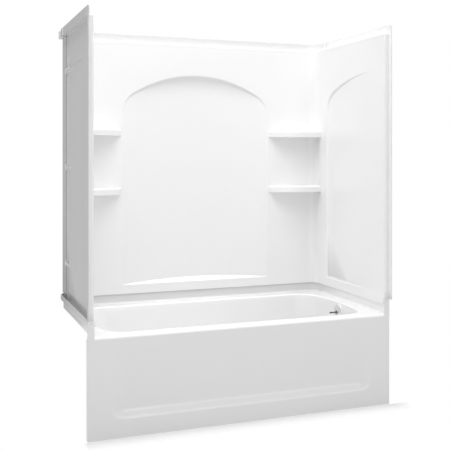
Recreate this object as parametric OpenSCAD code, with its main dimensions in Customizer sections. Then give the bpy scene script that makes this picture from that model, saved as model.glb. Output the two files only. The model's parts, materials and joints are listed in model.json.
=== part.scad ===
/* [Overall] */
// Width over the side flanges
overall_w = 1524; // [1370:1:1680]
// Depth from the wall flanges in front to the flanges behind
overall_d = 811; // [770:1:880]
// Height from the floor to the top of the wall flanges
overall_h = 1905; // [1780:1:2100]

/* [Bath] */
// Height of the deck above the floor
rim_h = 454; // [420:1:500]
// Thickness of the moulded bath
bath_t = 5; // [4:0.5:7]
// Distance that the wall flanges stand in front of the apron
flange_lead = 24; // [12:1:40]
// Width of the front rim
front_rim_w = 72; // [55:1:90]
// Width of the deck behind the basin
rear_deck_w = 87; // [60:1:110]
// Width of the deck at each end of the basin
end_deck_w = 61; // [50:1:90]
// Height of the basin's floor at the drain
floor_z = 104; // [102:1:112]
// Fall of the basin floor towards the drain
floor_fall = 10; // [4:1:16]
// Lean of the basin's front and rear walls
side_lean = 34; // [20:1:60]
// Lean of the basin's drain end
drain_lean = 22; // [10:1:40]
// Lean of the basin's backrest
backrest_lean = 110; // [70:1:170]
// Radius between the basin's walls and its floor
floor_r = 70; // [40:1:95]
// Radius of the basin's rolled upper edge
lip_r = 12; // [9:1:18]
// Bow of the basin's end walls
end_bow = 44; // [10:1:60]
// Radius of the basin's corners at the rim
basin_corner_r = 80; // [60:1:120]
// Height of the upstand above the deck
upstand_h = 49; // [35:1:70]
// Height of the tile flange above the upstand
tile_flange_h = 24; // [15:1:35]
// Radius of the rim's front edge
rim_front_r = 14; // [6:1:20]
// Depth of the apron's sunk field at its foot
field_depth = 9; // [4:0.5:14]
// Margin between the field and the apron's ends
field_margin = 110; // [80:1:160]
// Height of the field's lower edge
field_foot_z = 66; // [50:1:110]
// Distance of the field's upper edge below the deck
field_drop = 54; // [44:1:94]
// Width of the bevel round the field
field_bevel = 58; // [30:1:70]
// Number of stiffening ribs behind the apron
apron_ribs = 5; // [3:1:7]

/* [Walls] */
// Thickness of the moulded walls
wall_t = 4; // [3:0.5:5]
// Distance from a wall's inner face to its nailing flange's outer face
wall_inset = 29; // [25:1:36]
// Height of the nailing flanges at the top
top_flange_h = 38; // [25:1:50]
// Thickness of the nailing flanges
flange_t = 4; // [3:0.5:5]
// Radius of the back wall's vertical corners
corner_r = 45; // [30:1:60]
// Distance of the joint from the back wall's inner face
seam_reach = 95; // [85:1:110]
// Length of the back wall's laps behind the end walls
lap_len = 20; // [16:1:30]
// Radius of the ledge's rounded edge
edge_r = 7; // [5:1:10]
// Radius of the end walls' front nose
nose_r = 12; // [9:1:18]

/* [Recesses] */
// Width of the arched recess in the back wall
arch_w = 850; // [700:1:900]
// Height of the arch's crown above the floor
arch_top_z = 1687; // [1600:1:1750]
// Radius of the arch
arch_r = 716; // [600:1:1200]
// Radius of the arches' shoulders
shoulder_r = 130; // [40:1:160]
// Depth of the back recess at its middle
arch_depth = 23; // [12:1:23]
// Height of the recesses' sills above the bath's ledge
sill_h = 49; // [35:1:110]
// Height of the half arches in the end walls
half_arch_top_z = 1680; // [1600:1:1750]
// Radius of the half arches
half_arch_r = 1118; // [900:1:1500]
// Depth of an end recess at its rear edge
half_arch_depth = 9; // [5:1:14]
// Margin between the end recess and the joint
half_arch_margin = 54; // [50:1:90]
// Distance from the apron's face to where an end recess runs out
half_arch_front = 112; // [60:1:200]
// Height of the end recess's sloping sill at its rear
half_sill_h = 24; // [10:1:30]

/* [Shelves] */
// Height of the upper shelves' tops
upper_shelf_z = 1392; // [1300:1:1450]
// Height of the lower shelves' tops
lower_shelf_z = 1075; // [950:1:1150]
// Height of a shelf's front lip
shelf_lip_h = 37; // [24:1:50]
// Depth of a shelf
shelf_depth = 75; // [55:1:85]
// Length of a shelf from the end wall's inner face
shelf_len = 300; // [270:1:302]
// Length of a shelf's curved end
shelf_sweep = 190; // [120:1:200]
// Radius of a shelf's upper edge
shelf_edge_r = 8; // [4:1:12]

/* [Clips] */
// Height of the lower clips
lower_clip_z = 699; // [640:1:900]
// Height of the middle clips
middle_clip_z = 1190; // [1100:1:1300]
// Height of the upper clips
upper_clip_z = 1685; // [1450:1:1750]
// Length of a clip
clip_len = 160; // [120:1:180]
// Height of a clip
clip_h = 32; // [20:1:40]

/* [Waste and overflow] */
// Distance of the overflow's centre below the deck
overflow_drop = 54; // [50:1:69]
// Radius of the overflow hole
overflow_hole_r = 30; // [27:0.5:31]
// Radius of the faceplate
plate_r = 37; // [35:0.5:40]
// Distance from the drain's centre to the tube's centre
drain_reach = 188; // [170:1:210]
// Height of the shoe tube's centre above the floor
shoe_tube_z = 60; // [56:1:62]
// Outer radius of the waste tubes
tube_r = 19.05; // [18:0.05:20]
// Wall of the waste tubes
tube_t = 1.2; // [0.8:0.1:1.6]
// Radius of the drain flange
drain_flange_r = 36; // [33:0.5:40]
// Radius of the drain hole in the floor
drain_hole_r = 25; // [24:0.5:27]
// Outer radius of the outlet's pipe stub
outlet_r = 24.13; // [24:0.01:24.3]
// Length of the trip lever outside its pivot
lever_len = 58; // [50:1:70]
// Length of the trip lever inside its pivot
lever_arm = 24; // [20:1:26]
// Swing of the trip lever to each side
lever_swing = 25; // [15:1:25]
// Distance from the rocker arm's foot to the linkage
rocker_reach = 118; // [105:1:126]

/* [Fasteners] */
// Radius of the nail holes
nail_r = 2.4; // [1.5:0.1:3.5]
// Spacing of the nail holes along the back flange
back_nail_pitch = 400; // [300:1:440]
// Spacing of the nail holes up the front flanges
side_nail_pitch = 400; // [300:1:420]
// Height of the middle of the front flanges' nail holes
side_nail_z = 1220; // [1190:1:1230]
// Radius of the faceplate screws' shanks
screw_r = 2.4; // [2:0.1:3]

/* [Hidden] */

// Colours
white = "white";
chrome = "silver";
plastic = "gainsboro";
brass = "goldenrod";
black = "dimgray";

// Clearances
seat_gap = 0.2;
part_gap = 0.3;
run_gap = 0.08;
pin_fit = 0.05;
eps = 0.01;

// Places on the three axes
half_w = overall_w / 2;
front_y = -overall_d / 2;
rear_y = overall_d / 2;
apron_y = front_y + flange_lead;
end_face_x = half_w - wall_inset;
back_face_y = rear_y - wall_inset;
seam_y = back_face_y - seam_reach;

// Heights of the bath's ledge, of the walls on it and of their recesses
ledge_z = rim_h + upstand_h;
tile_top_z = ledge_z + tile_flange_h;
top_ledge_z = overall_h - top_flange_h;
wall_foot_z = ledge_z + seat_gap;
sill_z = ledge_z + sill_h;

// The bath's upstand stands behind the walls' inner faces
upstand_step = 11;
upstand_inset = wall_inset - upstand_step;
upstand_r = corner_r + upstand_step;
ear_w = 31;
apron_foot_w = 28;

// The basin's plan
basin_x = half_w - upstand_inset - end_deck_w;
basin_front_y = apron_y + front_rim_w;
basin_rear_y = rear_y - upstand_inset - rear_deck_w;
basin_y = (basin_front_y + basin_rear_y) / 2;
basin_half_d = (basin_rear_y - basin_front_y) / 2;
basin_depth = rim_h - floor_z;
rim_flat = 8;
floor_spread = 30;
least_corner_r = 20;
fall_start_x = 60;
fall_zone = 0.3;
hub_x = basin_x / 2;
arc_steps = 7;
side_steps = 6;
fillet_steps = 5;
sweep_steps = 16;

// The apron's field and the recesses
field_top_z = rim_h - field_drop;
field_lean = 12;
field_corner_r = 60;
bed_corner_r = 44;
arch_run_out = 12;
half_arch_set = 14;
recess_room = 60;
back_sill_lap = 1.4;
half_sill_lap = 1.2;
shelf_tip = 40;

// The overflow
overflow_z = rim_h - overflow_drop;
pad_face_x = basin_x - 8;
pad_back_x = pad_face_x + 14;
pad_r = overflow_hole_r + 12;
plate_back_x = pad_face_x - part_gap;
plate_rise = 8;
plate_dome_r = 90;
plate_t = 2;
plate_slot_w = 10.4;
lug_t = 3;
lug_h = 12;
lug_offset = 7.6;
screw_offset = 24;
screw_head_r = 4.6;
screw_head_h = 2.6;
screw_dome_r = 5.4;
screw_slot = 1;
screw_seat = 3;
seat_r = 7;
lever_pin_r = 1.95;
lever_w = 9;
lever_t = 6;
lever_hub_r = 5;
lever_end_r = 7;
cross_r = 1.5;
gasket_t = 6;
elbow_x = pad_back_x + gasket_t;
elbow_flange_t = 4;
cup_t = 4;
cup_r = overflow_hole_r + 2;
cup_round_r = 14;
lever_pivot_x = pad_face_x + 10;
tube_x = lever_pivot_x + lever_arm + 8.4;
drain_x = tube_x - drain_reach;
link_x = lever_pivot_x + lever_arm;

// Tubes, sockets and slip joints
socket_r = tube_r + 3;
socket_depth = 20;
short_socket = 12;
tube_insert = 18;
bore_r = tube_r - tube_t;
washer_t = 3;
nut_lip = 4;
nut_h = 17;
nut_r = tube_r + 8;
tee_top_z = shoe_tube_z + 44;
tee_foot_z = shoe_tube_z - 36;
tee_side_x = tube_x - 42;
elbow_foot_z = overflow_z - 62;
outlet_foot_z = 2;
outlet_h = 14;
outlet_t = 3.68;

// The drain
drain_boss_z = floor_z - 12;
drain_boss_r = drain_hole_r + 18;
drain_seat_z = floor_z - 1.5;
shoe_gasket_t = 4;
shoe_top_z = drain_boss_z - shoe_gasket_t;
shoe_r = drain_hole_r + 1;
shoe_t = 4;
shoe_foot_z = shoe_tube_z - tube_r - shoe_t - 1;
shoe_socket_x = drain_x + shoe_r + 22;
flange_bore_r = 17;
flange_dish_r = 22;
flange_h = 3;
flange_step = 2;
sleeve_r = drain_hole_r - 3;
sleeve_foot_z = shoe_top_z - 11.5;

// The linkage, the rocker and the stopper
fork_y = 4.2;
fork_t = 2;
fork_h = 24;
fork_foot = 20;
bridge_z = overflow_z - fork_h;
bridge_t = 5;
bridge_w = 8;
spring_stub = 6;
rod_r = 2.4;
link_nut_t = 4;
link_nut_r = 5;
spring_r = 9;
spring_wire_r = 1.6;
spring_turns = 9;
spring_foot_z = shoe_tube_z + 4.2;
spring_top_z = spring_foot_z + 62;
spring_coil_r = spring_r - spring_wire_r;
spring_plate_t = 4;
rocker_x = link_x - rocker_reach;
rocker_drop = 11.3;
rocker_head = rocker_x - drain_x;
rocker_foot_half = 11;
rocker_foot_r = 2.4;
rocker_pad_t = 6;
wire_r = 1.7;
wire_play = 0.6;
wire_past = 7;
lever_travel = lever_arm * lever_swing * PI / 180;
stopper_travel = lever_travel * rocker_head / rocker_reach;
stopper_seat_z = drain_seat_z + flange_h + part_gap + stopper_travel;
stopper_r = 24.5;
stopper_h = 9;
stopper_dome_r = 60;
stopper_stem_r = 4;
stopper_hub_r = 9;
stopper_hub_h = 6;
seal_r = 15;
seal_t = 3;

// The walls' nail holes and the joint's lap
foot_clear = flange_t + 1.5;
lap_gap = 0.4;
lap_root = 4;
lap_rear = 16;
lap_outer_x = end_face_x + 2 * wall_t + lap_gap;
joint_groove = 6;
bead_w = 8;
top_flange_gap = 24;
ear_hole_z = ledge_z + 12;
back_pad_t = 3;
back_pad_margin = 30;
back_pad_foot = 82;
back_pad_front = 18;
back_pad_rear = 190;

// Clips
clip_t = 3;
clip_rear = 22;
clip_inset = 2;
clip_arm_h = 12;
clip_button_r = 6.5;
clip_play = 0.7;

// Foam pad
foam_inset = 50;
foam_end_x = 60;
foam_drain_gap = 40;
channel_w = 40;

// Turns faces over, so that they run clockwise from outside
function turned(faces) = [for (f = faces) [for (i = [len(f) - 1:-1:0]) f[i]]];

// A ring of points round the basin at one height: straight sides, round corners and bowed ends
function bow(x, y, xm, hd) = x - sign(x - xm) * end_bow * pow((y - basin_y) / hd, 2);
function arc_pts(cx, cy, r, a) = [for (i = [0:arc_steps]) [
    cx + r * cos(a + 90 * i / arc_steps),
    cy + r * sin(a + 90 * i / arc_steps)
]];
function side_pts(x, y0, y1) = [for (i = [1:side_steps - 1]) [x, y0 + (y1 - y0) * i / side_steps]];
function plan_ring(x0, x1, hd, r) = let (xm = (x0 + x1) / 2, y0 = basin_y - hd, y1 = basin_y + hd)
    [for (p = concat(
        arc_pts(x1 - r, y0 + r, r, -90),
        side_pts(x1, y0 + r, y1 - r),
        arc_pts(x1 - r, y1 - r, r, 0),
        arc_pts(x0 + r, y1 - r, r, 90),
        side_pts(x0, y1 - r, y0 + r),
        arc_pts(x0 + r, y0 + r, r, 180)
    )) [bow(p[0], p[1], xm, hd), p[1]]];

// The basin's surface, set off outwards by t, as rings from the rim down to the floor
function wall_share(z) = (rim_h - z) / basin_depth;
function fall(x, share) = floor_fall * share * (drain_x + fall_start_x - x) / (basin_x + drain_x);
function surface_ring(out, share, z, r) = [
    for (p = plan_ring(
        -basin_x - out + backrest_lean * share,
        basin_x + out - drain_lean * share,
        basin_half_d + out - side_lean * share,
        max(r + out, least_corner_r)
    )) [p[0], p[1], z + fall(p[0], max(0, share - 1 + fall_zone) / fall_zone)]
];
function surface_rings(t) = let (
    lr = lip_r - t,
    fr = floor_r + t,
    z0 = rim_h - t,
    zf = floor_z - t,
    zw = zf + fr
) concat(
    [surface_ring(lip_r + rim_flat, 0, z0, basin_corner_r)],
    [for (a = [0:30:90]) surface_ring(t + lr * (1 - sin(a)), 0, z0 - lr * (1 - cos(a)), basin_corner_r)],
    [for (k = [1:3]) let (z = rim_h - lip_r - (rim_h - lip_r - zw) * k / 4, s = wall_share(z))
        surface_ring(t, s, z, basin_corner_r + floor_spread * s)],
    [for (i = [0:fillet_steps]) let (
        a = 90 * i / fillet_steps,
        z = zw - fr * sin(a),
        s = wall_share(zw) + (1 - wall_share(zw)) * sin(a)
    ) surface_ring(t - fr * (1 - cos(a)), s, z, basin_corner_r + floor_spread)]
);

// A closed shell between the inner and the outer surface
module basin_shell() {
    inner = surface_rings(0);
    outer = surface_rings(bath_t);
    n = len(inner[0]);
    m = len(inner);
    hubs = [for (t = [0, bath_t]) [hub_x, basin_y, floor_z - t + fall(hub_x, 1)]];
    second = m * n;
    points = concat([for (r = inner) each r], [for (r = outer) each r], hubs);
    polyhedron(
        points,
        turned(concat(
            [for (k = [0:m - 2], i = [0:n - 1], h = [0, 1]) let (j = (i + 1) % n, a = k * n)
                h == 0 ? [a + i, a + j, a + n + j] : [a + i, a + n + j, a + n + i]],
            [for (i = [0:n - 1]) [(m - 1) * n + i, (m - 1) * n + (i + 1) % n, 2 * second]],
            [for (k = [0:m - 2], i = [0:n - 1], h = [0, 1]) let (j = (i + 1) % n, a = second + k * n)
                h == 0 ? [a + n + j, a + j, a + i] : [a + n + i, a + n + j, a + i]],
            [for (i = [0:n - 1]) let (k = second + (m - 1) * n) [k + (i + 1) % n, k + i, 2 * second + 1]],
            [for (i = [0:n - 1], h = [0, 1]) let (j = (i + 1) % n)
                h == 0 ? [i, second + i, second + j] : [i, second + j, j]]
        ))
    );
}

// Plan of the space inside the alcove, set in from the flanges, open in front
module alcove_plan(inset, r, y0) {
    x = half_w - inset;
    y = rear_y - inset;
    translate([-x, y0]) square([2 * x, y - r - y0]);
    translate([-x + r, y - r - 1]) square([2 * (x - r), r + 1]);
    for (s = [-1, 1]) translate([s * (x - r), y - r]) circle(r, $fn = 64);
}

// Front rim and apron in section, as y and z
module apron_section() {
    difference() {
        union() {
            square([bath_t, rim_h - rim_front_r]);
            translate([rim_front_r, rim_h - bath_t]) square([front_rim_w - lip_r - rim_front_r - 4, bath_t]);
            translate([rim_front_r, rim_h - rim_front_r]) intersection() {
                circle(rim_front_r, $fn = 48);
                translate([-rim_front_r, 0]) square(rim_front_r);
            }
            square([apron_foot_w, bath_t]);
        }
        translate([rim_front_r, rim_h - rim_front_r]) circle(rim_front_r - bath_t, $fn = 48);
    }
}

// Outline of the apron's field: a trapezoid with two round lower corners
function field_pts(margin, foot, r) = let (x = half_w - margin) concat(
    [[-x - field_lean, field_top_z]],
    [for (i = [0:arc_steps]) let (a = 180 + 90 * i / arc_steps) [-x + r + r * cos(a), foot + r + r * sin(a)]],
    [for (i = [0:arc_steps]) let (a = 270 + 90 * i / arc_steps) [x - r + r * cos(a), foot + r + r * sin(a)]],
    [[x + field_lean, field_top_z]]
);

// The sunk field as a solid between the apron's face and the leaning floor of the field
module field_block(grow, deeper, face_y) {
    rim = field_pts(field_margin - grow, field_foot_z - grow, field_corner_r + grow);
    bed = field_pts(
        field_margin + field_bevel - grow,
        field_foot_z + field_bevel - grow,
        bed_corner_r + grow
    );
    n = len(rim);
    slope = field_depth / (field_top_z - field_foot_z - field_bevel);
    hub_z = (field_top_z + field_foot_z) / 2;
    polyhedron(
        concat(
            [for (p = rim) [p[0], face_y, p[1]]],
            [for (p = bed) [p[0], apron_y + deeper + slope * (field_top_z - p[1]), p[1]]],
            [[0, face_y, hub_z], [0, apron_y + deeper + slope * (field_top_z - hub_z), hub_z]]
        ),
        turned(concat(
            [for (i = [0:n - 1]) [i, (i + 1) % n, 2 * n]],
            [for (i = [0:n - 1]) [n + (i + 1) % n, n + i, 2 * n + 1]],
            [for (i = [0:n - 1], h = [0, 1]) let (j = (i + 1) % n)
                h == 0 ? [j, i, n + i] : [j, n + i, n + j]]
        ))
    );
}

module bath_body() {
    // Apron, front rim and foot
    translate([-half_w, apron_y, 0]) rotate([90, 0, 90]) linear_extrude(overall_w) apron_section();
    // Deck round the basin
    translate([0, 0, rim_h - bath_t]) linear_extrude(bath_t) difference() {
        alcove_plan(upstand_inset - bath_t, upstand_r + bath_t, apron_y + rim_front_r);
        polygon(plan_ring(
            -basin_x - lip_r - rim_flat + 1,
            basin_x + lip_r + rim_flat - 1,
            basin_half_d + lip_r + rim_flat - 1,
            basin_corner_r + lip_r + rim_flat - 1
        ));
    }
    basin_shell();
    // Upstand, ledge and tile flange
    translate([0, 0, rim_h - bath_t]) linear_extrude(upstand_h + bath_t) difference() {
        alcove_plan(upstand_inset - bath_t, upstand_r + bath_t, apron_y + bath_t);
        alcove_plan(upstand_inset, upstand_r, apron_y - 1);
    }
    translate([0, 0, ledge_z - bath_t]) linear_extrude(bath_t) difference() {
        alcove_plan(0, corner_r + wall_inset, apron_y + bath_t);
        alcove_plan(upstand_inset, upstand_r, apron_y - 1);
    }
    translate([0, 0, ledge_z - bath_t]) linear_extrude(tile_flange_h + bath_t) difference() {
        alcove_plan(0, corner_r + wall_inset, apron_y + bath_t);
        alcove_plan(flange_t, corner_r + wall_inset - flange_t, apron_y - 1);
    }
    // Ears that close the upstand's front ends, and the apron's returns
    for (s = [-1, 1]) {
        translate([s * (half_w - ear_w / 2) - ear_w / 2, apron_y, rim_h - rim_front_r])
            cube([ear_w, bath_t, tile_top_z - rim_h + rim_front_r]);
        translate([s * (half_w - bath_t / 2) - bath_t / 2, apron_y, 0])
            cube([bath_t, apron_foot_w, rim_h]);
    }
    // Ribs behind the apron
    for (i = [0:apron_ribs - 1]) {
        x = (i / (apron_ribs - 1) - 0.5) * (overall_w - 2 * field_margin);
        translate([x - bath_t / 2, apron_y + eps, 0]) cube([bath_t, apron_foot_w, rim_h - bath_t + eps]);
    }
    field_block(bath_t, bath_t, apron_y + bath_t / 2);
    // Pads round the overflow and drain holes
    translate([pad_face_x, basin_y, overflow_z]) rotate([0, 90, 0])
        cylinder(h = pad_back_x - pad_face_x, r = pad_r, $fn = 72);
    translate([drain_x, basin_y, drain_boss_z])
        cylinder(h = floor_z - drain_boss_z - 1, r = drain_boss_r, $fn = 72);
}

module bathtub() {
    color(white) difference() {
        bath_body();
        field_block(0, 0, apron_y - 1);
        translate([pad_face_x - 5, basin_y, overflow_z]) rotate([0, 90, 0])
            cylinder(h = pad_back_x - pad_face_x + 10, r = overflow_hole_r, $fn = 72);
        translate([drain_x, basin_y, drain_boss_z - 1]) cylinder(h = rim_h, r = drain_hole_r, $fn = 72);
        translate([drain_x, basin_y, drain_seat_z])
            cylinder(h = basin_depth, r = drain_flange_r + 1, $fn = 72);
        for (s = [-1, 1]) translate([s * (half_w - ear_w / 2), apron_y - 1, ear_hole_z]) rotate([-90, 0, 0])
            cylinder(h = bath_t + 2, r = nail_r, $fn = 24);
    }
}

// Section of a wall from its foot to its nailing flange: distance outwards from the inner face, and height
module wall_section() {
    translate([0, wall_foot_z]) square([wall_t, top_ledge_z - edge_r - wall_foot_z]);
    translate([edge_r, top_ledge_z - edge_r]) intersection() {
        circle(edge_r, $fn = 48);
        translate([-edge_r, 0]) square(edge_r);
    }
    translate([edge_r, top_ledge_z - wall_t]) square([wall_inset - edge_r, wall_t]);
    translate([wall_inset - flange_t, top_ledge_z - wall_t]) square([flange_t, top_flange_h + wall_t]);
    translate([0, wall_foot_z]) square([wall_inset - foot_clear, wall_t]);
}

// An arch with round shoulders: half width hw, crown radius r at height top, grown by g
module arch_outline(hw, top, r, g) {
    cx = hw - shoulder_r;
    crown_z = top - r;
    rise = sqrt(pow(r - shoulder_r, 2) - pow(cx, 2));
    reach = 2 * shoulder_r / rise;
    difference() {
        intersection() {
            translate([-hw - g, sill_z - g]) square([2 * (hw + g), top - sill_z + 2 * g]);
            translate([0, crown_z]) circle(r + g, $fn = 360);
        }
        for (s = [-1, 1]) translate([s * cx, crown_z + rise]) difference() {
            polygon([[0, 0], [s * cx * reach, rise * reach], [s * r, rise * reach], [s * r, 0]]);
            circle(shoulder_r + g, $fn = 180);
        }
    }
}

// The space of the arched recess, or the solid behind it when grown by the wall's thickness
module arch_space(grow) {
    reach = arch_w / 2 + grow;
    run_out = arch_w / 2 + arch_run_out;
    y0 = grow > 0 ? 0 : -1;
    steps = 2 * sweep_steps;
    translate([0, back_face_y, 0]) difference() {
        intersection() {
            translate([0, recess_room, 0]) rotate([90, 0, 0]) linear_extrude(recess_room + 2)
                arch_outline(arch_w / 2, arch_top_z, arch_r, grow);
            linear_extrude(overall_h) polygon(concat(
                [[reach, y0], [-reach, y0]],
                [for (i = [-steps:steps]) let (x = reach * i / steps)
                    [x, grow + arch_depth * (1 - pow(x / run_out, 2))]]
            ));
        }
        translate([-half_w, 0, sill_z - grow * back_sill_lap]) rotate([90, 0, 90]) linear_extrude(overall_w)
            polygon([[-2, -2], [recess_room, recess_room], [recess_room, -recess_room], [-2, -recess_room]]);
    }
}

// A shelf's solid set in by t: a straight run to the end wall and a curved end
module shelf_space(top_z, t) {
    foot_z = top_z - shelf_lip_h;
    sweep_x = end_face_x - shelf_len + shelf_sweep;
    big_r = (pow(shelf_sweep, 2) + pow(shelf_depth, 2)) / (2 * shelf_depth);
    edge = shelf_edge_r - t;
    lip = shelf_lip_h - 2 * t;
    module section(reach) {
        square([reach - edge, lip]);
        square([reach, lip - edge]);
        translate([reach - edge, lip - edge]) circle(edge, $fn = 32);
    }
    translate([0, 0, foot_z + t]) intersection() {
        translate([sweep_x, back_face_y - shelf_depth + big_r, 0])
            rotate_extrude($fn = 180) section(big_r - t);
        translate([sweep_x - 2 * shelf_sweep, back_face_y - shelf_depth - 1, -1])
            cube([2 * shelf_sweep, shelf_depth + 1 + wall_t / 2, lip + 2]);
    }
    translate([sweep_x - eps, back_face_y, foot_z + t]) rotate([90, 0, 90])
        linear_extrude(end_face_x - sweep_x + wall_t / 2) mirror([1, 0]) section(shelf_depth - t);
}

// A shelf's solid, kept inside the wall's round corner
module shelf(top_z) {
    intersection() {
        shelf_space(top_z, 0);
        linear_extrude(overall_h) alcove_plan(wall_inset - wall_t / 2, corner_r + wall_t / 2, front_y);
    }
}

// The hollow of a shelf, open at the back of the wall
module shelf_hollow(top_z) {
    intersection() {
        union() {
            shelf_space(top_z, wall_t);
            translate([0, wall_t + 1, 0]) shelf_space(top_z, wall_t);
        }
        translate([end_face_x - shelf_len + shelf_tip, back_face_y - shelf_depth, 0])
            cube([shelf_len - shelf_tip - corner_r, shelf_depth + wall_t + 1, overall_h]);
    }
}

module back_wall_half() {
    straight = end_face_x - corner_r;
    run = seam_reach - corner_r;
    // Half the back, a round corner and the return to the joint
    translate([-eps, back_face_y, 0]) rotate([90, 0, 90]) linear_extrude(straight + eps) wall_section();
    translate([straight, back_face_y - corner_r, 0]) rotate_extrude(angle = 90, $fn = 96)
        translate([corner_r, 0]) wall_section();
    difference() {
        translate([end_face_x, back_face_y - corner_r, 0]) rotate([90, 0, 0])
            linear_extrude(run) wall_section();
        translate([end_face_x + wall_t, seam_y - 1, top_ledge_z])
            cube([wall_inset, top_flange_gap / 2, overall_h]);
    }
    // Lap behind the end wall
    lap_x = lap_outer_x - wall_t;
    lap_foot_z = wall_foot_z + wall_t + 1;
    leg_foot_z = tile_top_z + 2;
    translate([0, 0, lap_foot_z]) linear_extrude(top_ledge_z - edge_r - lap_foot_z - 1) {
        polygon([
            [end_face_x, seam_y],
            [lap_x, seam_y],
            [lap_x, seam_y - lap_len],
            [lap_outer_x, seam_y - lap_len],
            [lap_outer_x, seam_y + lap_root],
            [end_face_x + wall_t, seam_y + lap_rear],
            [end_face_x, seam_y + lap_rear]
        ]);
    }
    // Leg from the lap to the rear studs, and the square corner of ledge and flange above it
    translate([lap_x, seam_y, leg_foot_z]) cube([wall_t, rear_y - seam_y, top_ledge_z - leg_foot_z]);
    translate([end_face_x, back_face_y, top_ledge_z - wall_t])
        cube([lap_outer_x - end_face_x, wall_inset, wall_t]);
    translate([straight, rear_y - flange_t, top_ledge_z - wall_t])
        cube([half_w - straight, flange_t, top_flange_h + wall_t]);
    for (z = [upper_shelf_z, lower_shelf_z]) shelf(z);
}

module back_wall() {
    color(white) difference() {
        union() {
            back_wall_half();
            mirror([1, 0, 0]) back_wall_half();
            arch_space(wall_t);
        }
        arch_space(0);
        for (z = [upper_shelf_z, lower_shelf_z]) {
            shelf_hollow(z);
            mirror([1, 0, 0]) shelf_hollow(z);
        }
        for (i = [-1.5:1:1.5])
            translate([i * back_nail_pitch, rear_y - flange_t - 1, overall_h - top_flange_h / 2])
                rotate([-90, 0, 0]) cylinder(h = flange_t + 2, r = nail_r, $fn = 24);
    }
}

// The space of an end wall's half-arch recess, or the solid behind it when grown
module half_arch_space(grow) {
    rear = seam_y - half_arch_margin;
    front = apron_y + half_arch_front;
    run = rear - front;
    half_arch_w = run - half_arch_set;
    x0 = grow > 0 ? 0 : -1;
    slope = half_sill_h / half_arch_depth;
    translate([end_face_x, 0, 0]) difference() {
        intersection() {
            rotate([90, 0, 90]) translate([0, 0, x0]) linear_extrude(wall_inset) intersection() {
                translate([front, sill_z - grow]) square([run + grow, half_arch_top_z - sill_z + 2 * grow]);
                translate([rear - half_arch_w, 0])
                    arch_outline(half_arch_w, half_arch_top_z, half_arch_r, grow);
            }
            linear_extrude(overall_h) polygon(concat(
                [[x0, rear + grow], [x0, front]],
                [for (i = [0:sweep_steps]) let (a = i / sweep_steps)
                    [grow + half_arch_depth * a * a, front + run * a]],
                [[grow + half_arch_depth, rear + grow]]
            ));
        }
        translate([0, front - 1, sill_z - grow * half_sill_lap]) rotate([-90, 0, 0])
            linear_extrude(run + recess_room) polygon([
                [-2, 2 * slope],
                [wall_inset, -wall_inset * slope],
                [wall_inset, recess_room],
                [-2, recess_room]
            ]);
    }
}

module end_wall() {
    run = seam_y - seat_gap - apron_y;
    difference() {
        union() {
            difference() {
                translate([end_face_x, apron_y + run, 0]) rotate([90, 0, 0])
                    linear_extrude(run - nose_r) wall_section();
                translate([end_face_x + wall_t, apron_y + run - top_flange_gap / 2, top_ledge_z])
                    cube([wall_inset, top_flange_gap, overall_h]);
            }
            // Rounded nose and front flange
            translate([0, 0, wall_foot_z]) linear_extrude(top_ledge_z - edge_r - wall_foot_z) nose_plan();
            translate([0, 0, top_ledge_z - edge_r - eps]) linear_extrude(edge_r + eps) intersection() {
                nose_plan();
                translate([end_face_x + edge_r, front_y]) square([wall_inset, nose_r + flange_lead + 1]);
            }
            translate([half_w - flange_t, front_y, tile_top_z + 2])
                cube([flange_t, flange_lead + nose_r, overall_h - tile_top_z - 2]);
            translate([end_face_x + edge_r, apron_y, top_ledge_z - wall_t])
                cube([wall_inset - edge_r, nose_r + 1, wall_t]);
            // Flat stiffened field on the outside
            translate([end_face_x + wall_t - eps, apron_y + back_pad_front, ledge_z + back_pad_foot]) cube([
                back_pad_t,
                run - back_pad_front - back_pad_rear,
                top_ledge_z - ledge_z - back_pad_foot - back_pad_margin
            ]);
            // Bead that stands before the back wall's lap
            translate([end_face_x + wall_t - eps, seam_y - lap_len - joint_groove - bead_w, wall_foot_z])
                cube([lap_outer_x - end_face_x - wall_t + eps, bead_w, top_ledge_z - wall_t / 2 - wall_foot_z]);
            half_arch_space(wall_t);
        }
        half_arch_space(0);
        // Clearance round the bath's ear and tile flange
        translate([half_w - foot_clear, apron_y - 1, 0]) cube([foot_clear + 1, overall_d, tile_top_z + 2]);
        translate([end_face_x - 1, front_y, 0])
            cube([wall_inset + 2, flange_lead + bath_t + 1, tile_top_z + 2]);
        for (i = [-1.5:1:1.5])
            translate([half_w - flange_t - 1, front_y + flange_lead / 2, side_nail_z + i * side_nail_pitch])
                rotate([0, 90, 0]) cylinder(h = flange_t + 2, r = nail_r, $fn = 24);
    }
}

// Plan of the end wall's nose: round inner edge and the web out to the flange
module nose_plan() {
    difference() {
        union() {
            translate([end_face_x + nose_r, apron_y + nose_r]) intersection() {
                circle(nose_r, $fn = 64);
                translate([-nose_r, -nose_r]) square(nose_r + eps);
            }
            translate([end_face_x + nose_r, apron_y]) square([wall_inset - nose_r, wall_t]);
            translate([end_face_x, apron_y + nose_r]) square([wall_t, 2]);
        }
        translate([end_face_x + nose_r, apron_y + nose_r]) circle(nose_r - wall_t, $fn = 64);
    }
}

module right_end_wall() {
    color(white) end_wall();
}

module left_end_wall() {
    color(white) mirror([1, 0, 0]) end_wall();
}

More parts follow.
